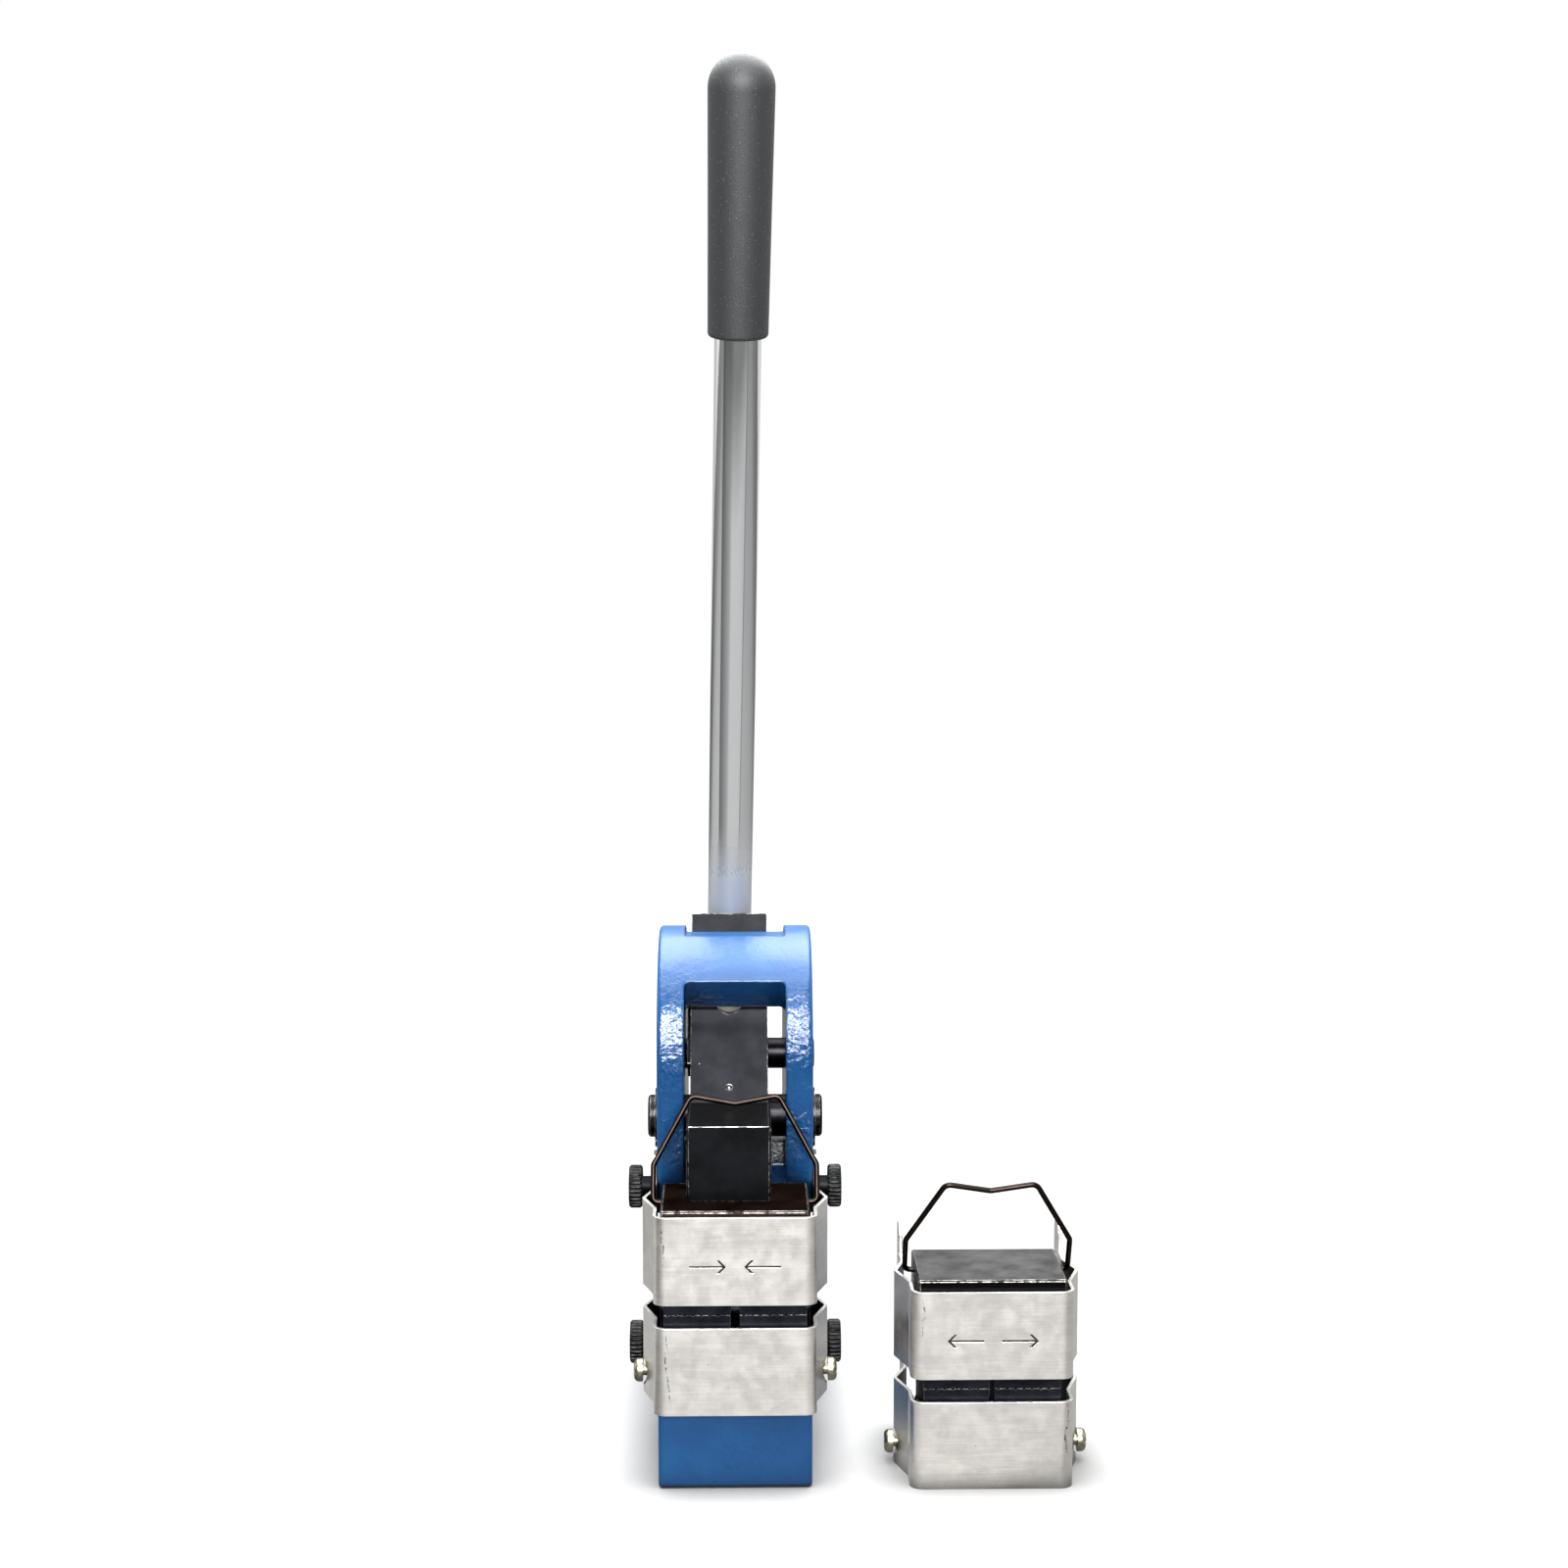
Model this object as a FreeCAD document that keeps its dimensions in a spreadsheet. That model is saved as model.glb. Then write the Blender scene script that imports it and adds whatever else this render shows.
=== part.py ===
import FreeCAD, Part
import math
import os
import re

import Sketcher

# Hand-lever shrinker and stretcher for sheet metal, in millimetres.
# X runs across the tool, Y from the jaws back to the column, Z up.
# Every Y below is counted from the base's front face. The finished pieces are then
# moved, so that the origin lies on the floor right under the lever's pivot.

vector = FreeCAD.Vector
doc = FreeCAD.newDocument("ShrinkerStretcher")

# Driving sizes

sizes = {
    # Frame casting
    "base_width": 55, "head_overhang": 1.5, "seat_height": 28.5, "seat_margin": 0.7,
    "throat_step": 6.3, "throat_inset": 15, "cheek_gap": 6.5, "cheek_lip": 8.4,
    "head_rise": 23.6, "head_radius": 46, "slot_side_gap": 1.55, "slot_clearance": 3.4,
    "slot_floor_rise": 12, "slot_floor_turn": 50, "bridge_angle": 42, "bridge_thickness": 18,
    "bridge_clearance": 1.4, "window_round": 2.3, "crown_notch": 1.7, "foot_length": 35,
    "foot_height": 14, "foot_hole_diameter": 11, "foot_hole_edge": 11.5, "foot_hole_setback": 18, "casting_round": 1.6,
    # Pivot pin, its circlips and the stop pin
    "pivot_inset": 27, "pivot_diameter": 16, "pivot_proud": 4, "pin_clearance": 0.05,
    "pin_chamfer": 0.8, "circlip_thickness": 1.2, "circlip_wall": 2.5, "circlip_groove": 0.8,
    "circlip_gap": 0.1, "circlip_opening": 5, "lug_radius": 2.2, "lug_inset": 0.6,
    "lug_hole": 1.6, "lug_angle": 30, "stop_diameter": 12, "stop_setback": 32.5,
    "stop_rise": 17.1, "stop_proud": 2, "stop_inset": 3.4,
    # Lever forging
    "lever_offset": 2.2, "ram_clearance": 0.1, "ram_width": 30.5, "ram_height": 27.3,
    "ram_reach": 59.5, "ram_shoulder": 24.1, "ram_chamfer": 1.5, "boss_radius": 17,
    "arm_step": 0.75, "arm_thickness": 27, "arm_lean": 37, "arm_length": 79.8, "arm_root": 3,
    "socket_depth": 24, "socket_wall": 5.5, "socket_heel": 34, "socket_start": 52,
    "lock_drop": 34.9, "lock_head_diameter": 10.6, "lock_head_height": 4.5, "lock_bore": 11.5,
    "lock_bore_depth": 10.5, "lock_thread": 8, "lock_socket": 5, "lock_tilt": 8,
    "dimple_diameter": 2.4, "dimple_depth": 0.9, "dimple_rise": 6.55, "arm_corner_round": 1,
    "flank_rib": 1.5, "flank_rib_depth": 12,
    # Handle
    "rod_diameter": 17, "rod_lean": 15, "rod_side_lean": 0.95, "rod_length": 325,
    "rod_chamfer": 1, "grip_length": 98, "grip_top_diameter": 23.6, "grip_bottom_diameter": 21.9,
    "grip_cap": 6, "grip_lip": 1.4,
    # Jaw cages
    "cage_wall": 1.2, "base_gap": 0.45, "cage_height": 31.8, "cage_space": 8.4,
    "cage_front": 2, "cage_corner": 4.5, "bulge_back_setback": 1.5, "bulge_back_run": 12,
    "bulge_front_run": 14, "bulge_out": 4.6, "bulge_round": 3, "bend_round": 2,
    "cheek_clearance": 0.15, "tab_setback": 1, "tab_rise": 9.6, "tab_end": 7, "tab_round": 3,
    "tab_slot_clearance": 0.3, "cage_hole_diameter": 10, "cage_screw_rise": 7.7,
    "cage_screw_head": 8.5, "cage_screw_head_height": 3.2, "cage_screw_dome": 1.76,
    "cage_screw_shank": 4, "cage_screw_grip": 6.5, "cage_screw_slot": 1.1,
    "cage_screw_slot_depth": 1.2,
    # Arrows stamped in the upper cages' fronts
    "mark_length": 13, "mark_half_height": 2.4, "mark_stroke": 0.7, "mark_depth": 0.3,
    "mark_inset": 3.2, "mark_rise": 14.1,
    # Wedge blocks, dies and their springs
    "block_gap": 1.45, "block_depth": 38.5, "block_recess": 1, "block_chamfer": 0.6,
    "wedge_angle": 20, "wedge_peak": 26, "shrinker_proud": 1.8, "stretcher_proud": 3.8,
    "die_clearance": 0.05, "shrinker_die_gap": 3.2, "stretcher_die_gap": 1.8,
    "shrinker_die_inset": 1, "stretcher_die_inset": 2, "die_front": 0.6,
    "tooth_pitch": 3, "tooth_depth": 0.5, "spring_diameter": 5, "spring_wire": 1,
    "spring_hole": 5.6, "spring_hole_depth": 6, "spring_height": 11,
    # Wire bails
    "wire_diameter": 2, "wire_hole": 2.2, "bail_pivot_offset": 1, "bail_pivot_drop": 3.8,
    "bail_stand": 3.3, "bail_hold": 4, "bail_straight": 13.8, "bail_ram_side": 0.95,
    "bail_ram_gap": 0.26, "bail_notch_depth": 3, "bail_round": 3, "bail_back_angle": 26.9,
    "bail_front_angle": 24,
    # Thumb screws
    "knob_diameter": 15.9, "knob_thickness": 4.9, "knob_shoulder": 7.6,
    "knob_shoulder_length": 4.05, "knob_screw": 6, "knob_end_setback": 0.6, "knob_setback": 7,
    "upper_knob_drop": 4.9, "lower_knob_rise": 9.2, "knob_flute": 1.2, "knob_flute_depth": 0.5,
    "knob_chamfer": 0.7, "knob_seat_gap": 0.2,
    # Travel that the upper cages' slots make room for
    "jaw_lift": 6.5,
    # Room between the two jaw sets
    "spare_gap": 17.6,
    # Overrun of every cut
    "overrun": 3,
}

knob_flutes = 30
grip_waist_share = 0.45
# How far two directions may differ and still count as the same
parallel_share = 0.01
eighth_turn = math.radians(45)

# Sizes worked out from the driving ones
worked = {
    "head_width": "base_width + 2 * head_overhang",
    "cage_width": "base_width + 2 * (cage_wall + base_gap)",
    "block_width": "cage_width - 2 * (cage_wall + block_gap)",
    "shrinker_die_side": "block_width / 2 - shrinker_die_inset",
    "stretcher_die_side": "block_width / 2 - stretcher_die_inset",
    "die_depth": "block_depth - 2 * die_front",
    "spring_y": "block_depth / 2",
    "cage_base": "seat_height - block_recess",
    "shrinker_plate": "cage_base + 2 * cage_height + cage_space + shrinker_proud",
    "stretcher_plate": "2 * cage_height + cage_space + stretcher_proud",
    "face_rise": "cage_height + cage_space / 2",
    "wedge_drop": "block_width / 2 * tan(wedge_angle)",
    "wedge_foot": "wedge_peak - wedge_drop",
    "ram_bottom": "shrinker_plate + ram_clearance",
    "ram_top": "ram_bottom + ram_height",
    "seat_depth": "block_depth + seat_margin",
    "cheek_front": "block_depth + cheek_gap",
    "head_centre_y": "cheek_front + head_radius",
    "column_back": "head_centre_y + head_radius",
    "foot_back": "column_back + foot_length",
    "foot_hole_spacing": "base_width - 2 * foot_hole_edge",
    "upper_knob_z": "shrinker_plate - upper_knob_drop",
    "lower_knob_z": "cage_base + lower_knob_rise",
    "throat_floor": "cage_base + cage_height - throat_step",
    "cheek_under": "upper_knob_z - cheek_lip",
    "throat_radius": "(cheek_under - throat_floor) / 2",
    "throat_mid": "throat_floor + throat_radius",
    "throat_reach": "cheek_front + throat_inset",
    "pivot_y": "cheek_front + pivot_inset",
    "pivot_z": "ram_bottom + boss_radius",
    "pivot_length": "head_width + 2 * pivot_proud",
    "circlip_radius": "pivot_diameter / 2 + circlip_wall",
    "circlip_inner": "pivot_diameter / 2 - circlip_groove",
    "lug_reach": "circlip_radius - lug_inset",
    "head_centre_z": "pivot_z + head_rise",
    "slot_width": "ram_width + 2 * (lever_offset + slot_side_gap)",
    "boss_clear": "boss_radius + slot_clearance", "slot_floor": "pivot_z - boss_clear",
    "stop_y": "pivot_y + stop_setback",
    "stop_z": "pivot_z + stop_rise",
    "ram_nose_y": "pivot_y - ram_reach",
    "shoulder_y": "pivot_y - ram_shoulder",
    "arm_width": "ram_width - 2 * arm_step",
    "arm_top_y": "shoulder_y + arm_length * sin(arm_lean)",
    "arm_top_z": "ram_top + arm_length * cos(arm_lean)",
    "socket_y": "arm_top_y + arm_thickness / 2 * cos(arm_lean)",
    "socket_z": "arm_top_z - arm_thickness / 2 * sin(arm_lean)",
    "socket_half": "rod_diameter / 2 + socket_wall",
    "bulge_end": "block_depth - bulge_back_setback",
    "bulge_peak": "bulge_end - bulge_back_run",
    "bulge_start": "bulge_peak - bulge_front_run",
    "bulge_outer": "cage_width / 2 + bulge_out",
    "upper_arm_outer": "head_width / 2 + cheek_clearance + cage_wall",
    "tab_start": "cheek_front + tab_setback",
    "knob_y": "cheek_front + knob_setback",
    "cage_back": "knob_y + tab_end",
    "knob_inset": "upper_arm_outer + knob_seat_gap + knob_shoulder_length",
    "knob_screw_end": "slot_width / 2 + knob_end_setback",
    "bail_pivot_y": "bulge_peak + bail_pivot_offset",
    "bail_leg": "block_width / 2 + bail_stand",
    "bail_foot": "bail_stand + bail_hold",
    "bail_corner": "ram_width / 2 + bail_ram_side",
    "bail_low": "(bail_pivot_drop + ram_clearance + ram_height + bail_ram_gap + wire_diameter / 2)"
                " / cos(bail_back_angle)",
    "bail_reach": "bail_low + bail_notch_depth",
    "spare_x": "2 * (bulge_outer + cage_screw_head_height) + spare_gap",
}

sheet = doc.addObject("Spreadsheet::Sheet", "Sizes")
for row, (alias, value) in enumerate(sizes.items(), start=1):
    sheet.set(f"A{row}", alias)
    sheet.set(f"B{row}", str(value))
    sheet.setAlias(f"B{row}", alias)
doc.recompute()


def formula(text):
    # Writes a size's name out as the sheet's cell, and a worked size as its sum
    def spell(match):
        word = match.group(0)
        if word in worked:
            return f"({formula(worked[word])})"
        return f"Sizes.{word}" if word in sizes else word

    return re.sub(r"[a-z_]+", spell, str(text))


def number(text):
    return float(sheet.evalExpression(formula(text)))


def bind(thing, **properties):
    for name, text in properties.items():
        thing.setExpression(name, formula(text))


def place(thing, x, y, z):
    for axis, text in zip("xyz", (x, y, z)):
        thing.setExpression(f"Placement.Base.{axis}", formula(text))


# Building blocks

turns = {"X": FreeCAD.Rotation(vector(0, 1, 0), 90), "Z": FreeCAD.Rotation()}
planes = {
    "YZ": (FreeCAD.Rotation(vector(1, 1, 1), 120), vector(1, 0, 0)),
    "XZ": (FreeCAD.Rotation(vector(1, 0, 0), 90), vector(0, 1, 0)),
}


def box(name, low, high):
    # A box between two corners
    block = doc.addObject("Part::Box", name)
    spans = [f"({b}) - ({a})" for a, b in zip(low, high)]
    bind(block, Length=spans[0], Width=spans[1], Height=spans[2])
    place(block, *low)
    return block


def rod(name, axis, start, length, radius):
    # A cylinder along one axis
    bar = doc.addObject("Part::Cylinder", name)
    bar.Placement = FreeCAD.Placement(vector(), turns[axis])
    bind(bar, Radius=radius, Height=length)
    place(bar, *start)
    return bar


def prism(name, plane, corners, start, length):
    # A closed outline in one plane, drawn out square to it
    turn, direction = planes[plane]
    outline = doc.addObject("Sketcher::SketchObject", f"{name}_outline")
    values = [(number(a), number(b)) for a, b in corners]
    count = len(corners)
    for index in range(count):
        ends = [vector(*values[i % count], 0) for i in (index, index + 1)]
        outline.addGeometry(Part.LineSegment(*ends), False)
    for index in range(count):
        outline.addConstraint(Sketcher.Constraint("Coincident", index, 2, (index + 1) % count, 1))
        for side, kind in enumerate(("DistanceX", "DistanceY")):
            rule = Sketcher.Constraint(kind, -1, 1, index, 1, values[index][side])
            at = outline.addConstraint(rule)
            outline.setExpression(f"Constraints[{at}]", formula(corners[index][side]))
    outline.Placement = FreeCAD.Placement(vector(), turn)
    axis = {"YZ": "x", "XZ": "y"}[plane]
    outline.setExpression(f"Placement.Base.{axis}", formula(start))
    solid = doc.addObject("Part::Extrusion", name)
    solid.Base = outline
    solid.DirMode = "Custom"
    solid.Dir = direction
    solid.Solid = True
    bind(solid, LengthFwd=length)
    return solid


def fuse(name, *things):
    union = doc.addObject("Part::MultiFuse", name)
    union.Shapes = list(things)
    union.Refine = True
    return union


def cut(name, thing, *tools):
    result = doc.addObject("Part::Cut", name)
    result.Base = thing
    result.Tool = tools[0] if len(tools) == 1 else fuse(f"{name}_tools", *tools)
    result.Refine = True
    return result


def chosen(thing, test):
    # Numbers of the edges that a test picks, by their middle point and direction
    doc.recompute()
    picked = []
    for index, edge in enumerate(thing.Shape.Edges, start=1):
        middle = edge.valueAt((edge.FirstParameter + edge.LastParameter) / 2)
        if test(edge, middle):
            picked.append(index)
    return picked


def eased(name, thing, kind, size, test):
    # Fillets or chamfers the picked edges
    result = doc.addObject(f"Part::{kind}", name)
    result.Base = thing
    amount = number(size)
    result.Edges = [(index, amount, amount) for index in chosen(thing, test)]
    return result


def near(value, text):
    return abs(value - number(text)) < number("pin_clearance")


def upright(edge):
    return abs(edge.tangentAt(edge.FirstParameter).z) > 1 - parallel_share


def solid_feature(name, shape):
    feature = doc.addObject("Part::Feature", name)
    feature.Shape = shape
    return feature


nodes = []


def node(thing, name):
    thing.Label = name
    nodes.append(thing)
    return thing


def tangent_path(points, radii):
    # Straight runs joined by tangent arcs, one radius for each inner point
    edges = []
    last = points[0]
    for index in range(1, len(points) - 1):
        corner = points[index]
        back = (points[index - 1] - corner).normalize()
        ahead = (points[index + 1] - corner).normalize()
        half = back.getAngle(ahead) / 2
        reach = radii[index - 1] / math.tan(half)
        first = corner + back * reach
        final = corner + ahead * reach
        bisector = (back + ahead).normalize()
        centre = corner + bisector * (radii[index - 1] / math.sin(half))
        middle = centre - bisector * radii[index - 1]
        edges.append(Part.makeLine(last, first))
        edges.append(Part.Arc(first, middle, final).toShape())
        last = final
    edges.append(Part.makeLine(last, points[-1]))
    return edges


# Frame casting

def frame_casting():
    half_base = "base_width / 2"
    half_head = "head_width / 2"
    lower = prism("frame_lower", "YZ", [
        ("0", "0"), ("foot_back", "0"), ("foot_back", "foot_height"),
        ("column_back", "foot_height"), ("column_back", "cheek_under"),
        ("seat_depth", "cheek_under"), ("seat_depth", "seat_height"), ("0", "seat_height"),
    ], f"-({half_base})", "base_width")
    lower_eased = eased("frame_lower_eased", lower, "Fillet", "casting_round", lambda edge, middle: (
        near(abs(middle.x), half_base) and upright(edge) or near(middle.z, "0")))
    head = box("frame_head", (f"-({half_head})", "cheek_front", "throat_mid"),
               (half_head, "column_back", "head_centre_z"))
    crown = rod("frame_crown", "X", (f"-({half_head})", "head_centre_y", "head_centre_z"),
                "head_width", "head_radius")
    rounded = eased("frame_head_eased", fuse("frame_upper", head, crown), "Fillet", "casting_round",
                    lambda edge, middle: (
                        near(abs(middle.x), half_head) and not near(middle.z, "throat_mid")))
    body = fuse("frame_body", lower_eased, rounded)
    throat = box("throat", (f"-({half_head}) - overrun", "-overrun", "throat_floor"),
                 (f"{half_head} + overrun", "throat_reach", "cheek_under"))
    throat_round = rod("throat_round", "X", (f"-({half_head}) - overrun", "throat_reach", "throat_mid"),
                       "head_width + 2 * overrun", "throat_radius")
    inner = "(head_radius - bridge_thickness)"
    end_y = f"head_centre_y - {inner} * cos(bridge_angle)"
    end_z = f"head_centre_z + {inner} * sin(bridge_angle)"
    out_y = "head_centre_y - 2 * head_radius * cos(bridge_angle)"
    out_z = "head_centre_z + 2 * head_radius * sin(bridge_angle)"
    above = "(head_centre_z + head_radius + overrun)"
    clear = "(shoulder_y - bridge_clearance / cos(arm_lean))"
    bridge_back = f"{clear} + ({above} - ram_top) * tan(arm_lean)"
    slot = prism("lever_slot", "YZ", [
        (out_y, "throat_mid"), ("throat_reach + throat_radius", "throat_mid"),
        ("throat_reach + throat_radius", "slot_floor"),
        ("pivot_y + boss_clear * sin(slot_floor_turn)", "pivot_z - boss_clear * cos(slot_floor_turn)"),
        ("column_back + overrun", "slot_floor + slot_floor_rise"),
        ("column_back + overrun", above),
        (bridge_back, above), (f"{clear} + ({end_z} - ram_top) * tan(arm_lean)", end_z),
        (end_y, end_z), (out_y, out_z),
    ], "-slot_width / 2", "slot_width")
    slot_eased = eased("lever_slot_eased", slot, "Fillet", "window_round", lambda edge, middle: (
        near(abs(middle.x), "slot_width / 2") and middle.y < number(bridge_back)
        and middle.z > number(f"{end_z} - pin_clearance")))
    notch_z = "head_centre_z + head_radius - crown_notch"
    notch = box("crown_flat", ("-slot_width / 2", "head_centre_y - head_radius / 2", notch_z),
                ("slot_width / 2", "column_back", above))
    pivot_bore = rod("pivot_bore", "X", (f"-({half_head}) - overrun", "pivot_y", "pivot_z"),
                     "head_width + 2 * overrun", "pivot_diameter / 2")
    stop_bore = rod("stop_bore", "X", (f"-({half_head}) - overrun", "stop_y", "stop_z"),
                    "head_width + 2 * overrun", "stop_diameter / 2")
    tools = [throat, throat_round, slot_eased, notch, pivot_bore, stop_bore]
    for height, depth in (("upper_knob_z", "slot_width / 2 - overrun"),
                          ("lower_knob_z", "knob_screw_end - pin_clearance")):
        length = f"{half_head} + overrun - ({depth})"
        for side in (-1, 1):
            start = depth if side > 0 else f"-({half_head}) - overrun"
            tools.append(rod(f"tap_{height[:5]}_{side + 1}", "X", (start, "knob_y", height),
                             length, "knob_screw / 2 + pin_clearance"))
    for side in (-1, 1):
        tools.append(rod(f"foot_hole_{side + 1}", "Z", (
            f"{side} * foot_hole_spacing / 2", "column_back + foot_hole_setback", "-overrun"),
            "foot_height + 2 * overrun", "foot_hole_diameter / 2"))
    return cut("frame_milled", body, *tools)


casting = frame_casting()


def casting_region(word, low_y, high_y, low_z, high_z):
    # One region of the casting: split at the throat, each collides close to its own shape
    region = box(f"{word}_region", ("-head_width", low_y, low_z), ("head_width", high_y, high_z))
    share = doc.addObject("Part::Common", f"{word}_of_casting")
    share.Base = casting
    share.Tool = region
    share.Refine = True
    return share


node(casting_region("foot", "column_back", "foot_back + overrun", "-overrun", "throat_floor"), "casting_foot")
node(casting_region("base", "-overrun", "column_back", "-overrun", "throat_floor"), "casting_base")
node(casting_region("column", "-overrun", "column_back + overrun", "throat_floor", "cheek_under"),
     "casting_column")
node(casting_region("head", "-overrun", "column_back + overrun", "cheek_under",
                    "head_centre_z + head_radius + overrun"), "casting_head")


# Pins and circlips

def pivot_pin():
    half = "pivot_length / 2"
    pin = rod("pivot_bar", "X", (f"-({half})", "pivot_y", "pivot_z"), "pivot_length", "pivot_diameter / 2")
    grooves = []
    for side in (-1, 1):
        near_face = "head_width / 2 + circlip_gap"
        start = near_face if side > 0 else f"-({near_face}) - circlip_thickness - circlip_gap"
        place_at = (start, "pivot_y", "pivot_z")
        width = "circlip_thickness + circlip_gap"
        ring = rod(f"groove_outer_{side + 1}", "X", place_at, width, "pivot_diameter / 2 + overrun")
        core = rod(f"groove_core_{side + 1}", "X", place_at, width, "circlip_inner")
        grooves.append(cut(f"groove_{side + 1}", ring, core))
    grooved = cut("pivot_grooved", pin, *grooves)
    return eased("pivot_eased", grooved, "Chamfer", "pin_chamfer", lambda edge, middle: (
        near(abs(middle.x), half)))


def circlip(side):
    word = "left" if side < 0 else "right"
    near_face = "head_width / 2 + circlip_gap"
    start = near_face if side > 0 else f"-({near_face}) - circlip_thickness"
    disc = rod(f"circlip_disc_{word}", "X", (start, "pivot_y", "pivot_z"), "circlip_thickness",
               "circlip_radius")
    bore = rod(f"circlip_bore_{word}", "X", (f"{start} - overrun", "pivot_y", "pivot_z"),
               "circlip_thickness + 2 * overrun", "circlip_inner")
    mouth = box(f"circlip_mouth_{word}", (
        f"{start} - overrun", "pivot_y - circlip_opening / 2", "pivot_z - circlip_radius - overrun"),
        (f"{start} + circlip_thickness + overrun", "pivot_y + circlip_opening / 2", "pivot_z"))
    lugs = []
    holes = []
    for hand in (-1, 1):
        across = f"pivot_y + {hand} * lug_reach * sin(lug_angle)"
        height = "pivot_z - lug_reach * cos(lug_angle)"
        lugs.append(rod(f"circlip_lug_{word}_{hand + 1}", "X", (start, across, height),
                        "circlip_thickness", "lug_radius"))
        holes.append(rod(f"circlip_eye_{word}_{hand + 1}", "X", (f"{start} - overrun", across, height),
                         "circlip_thickness + 2 * overrun", "lug_hole / 2"))
    return cut(f"circlip_{word}", fuse(f"circlip_blank_{word}", disc, *lugs), bore, mouth, *holes)


def stop_pin():
    length = "head_width + stop_proud - stop_inset"
    start = "-head_width / 2 + stop_inset"
    pin = rod("stop_bar", "X", (start, "stop_y", "stop_z"), length, "stop_diameter / 2")
    return eased("stop_eased", pin, "Chamfer", "pin_chamfer", lambda edge, middle: (
        near(middle.x, "head_width / 2 + stop_proud")))


node(pivot_pin(), "pivot_pin")
node(circlip(-1), "pivot_circlip_left")
node(circlip(1), "pivot_circlip_right")
node(stop_pin(), "stop_pin")


# Lever forging and handle

def lever_place():
    # Directions and points that the lever, rod and lock screw share
    lean = math.radians(number("arm_lean"))
    rod_lean = math.radians(number("rod_lean"))
    side = math.radians(number("rod_side_lean"))
    mid = -number("lever_offset")
    along = vector(math.sin(side), -math.sin(rod_lean) * math.cos(side),
                   math.cos(rod_lean) * math.cos(side))
    across = vector(0, math.cos(rod_lean), math.sin(rod_lean))
    mouth = vector(mid, number("socket_y"), number("socket_z"))
    drop = number("arm_length - lock_drop")
    lock = vector(mid, number("shoulder_y") + drop * math.sin(lean),
                  number("ram_top") + drop * math.cos(lean))
    tilt = math.radians(number("lock_tilt"))
    inward = vector(0, math.cos(tilt), math.sin(tilt))
    return along, across, mouth, lock, inward, lean


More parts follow.
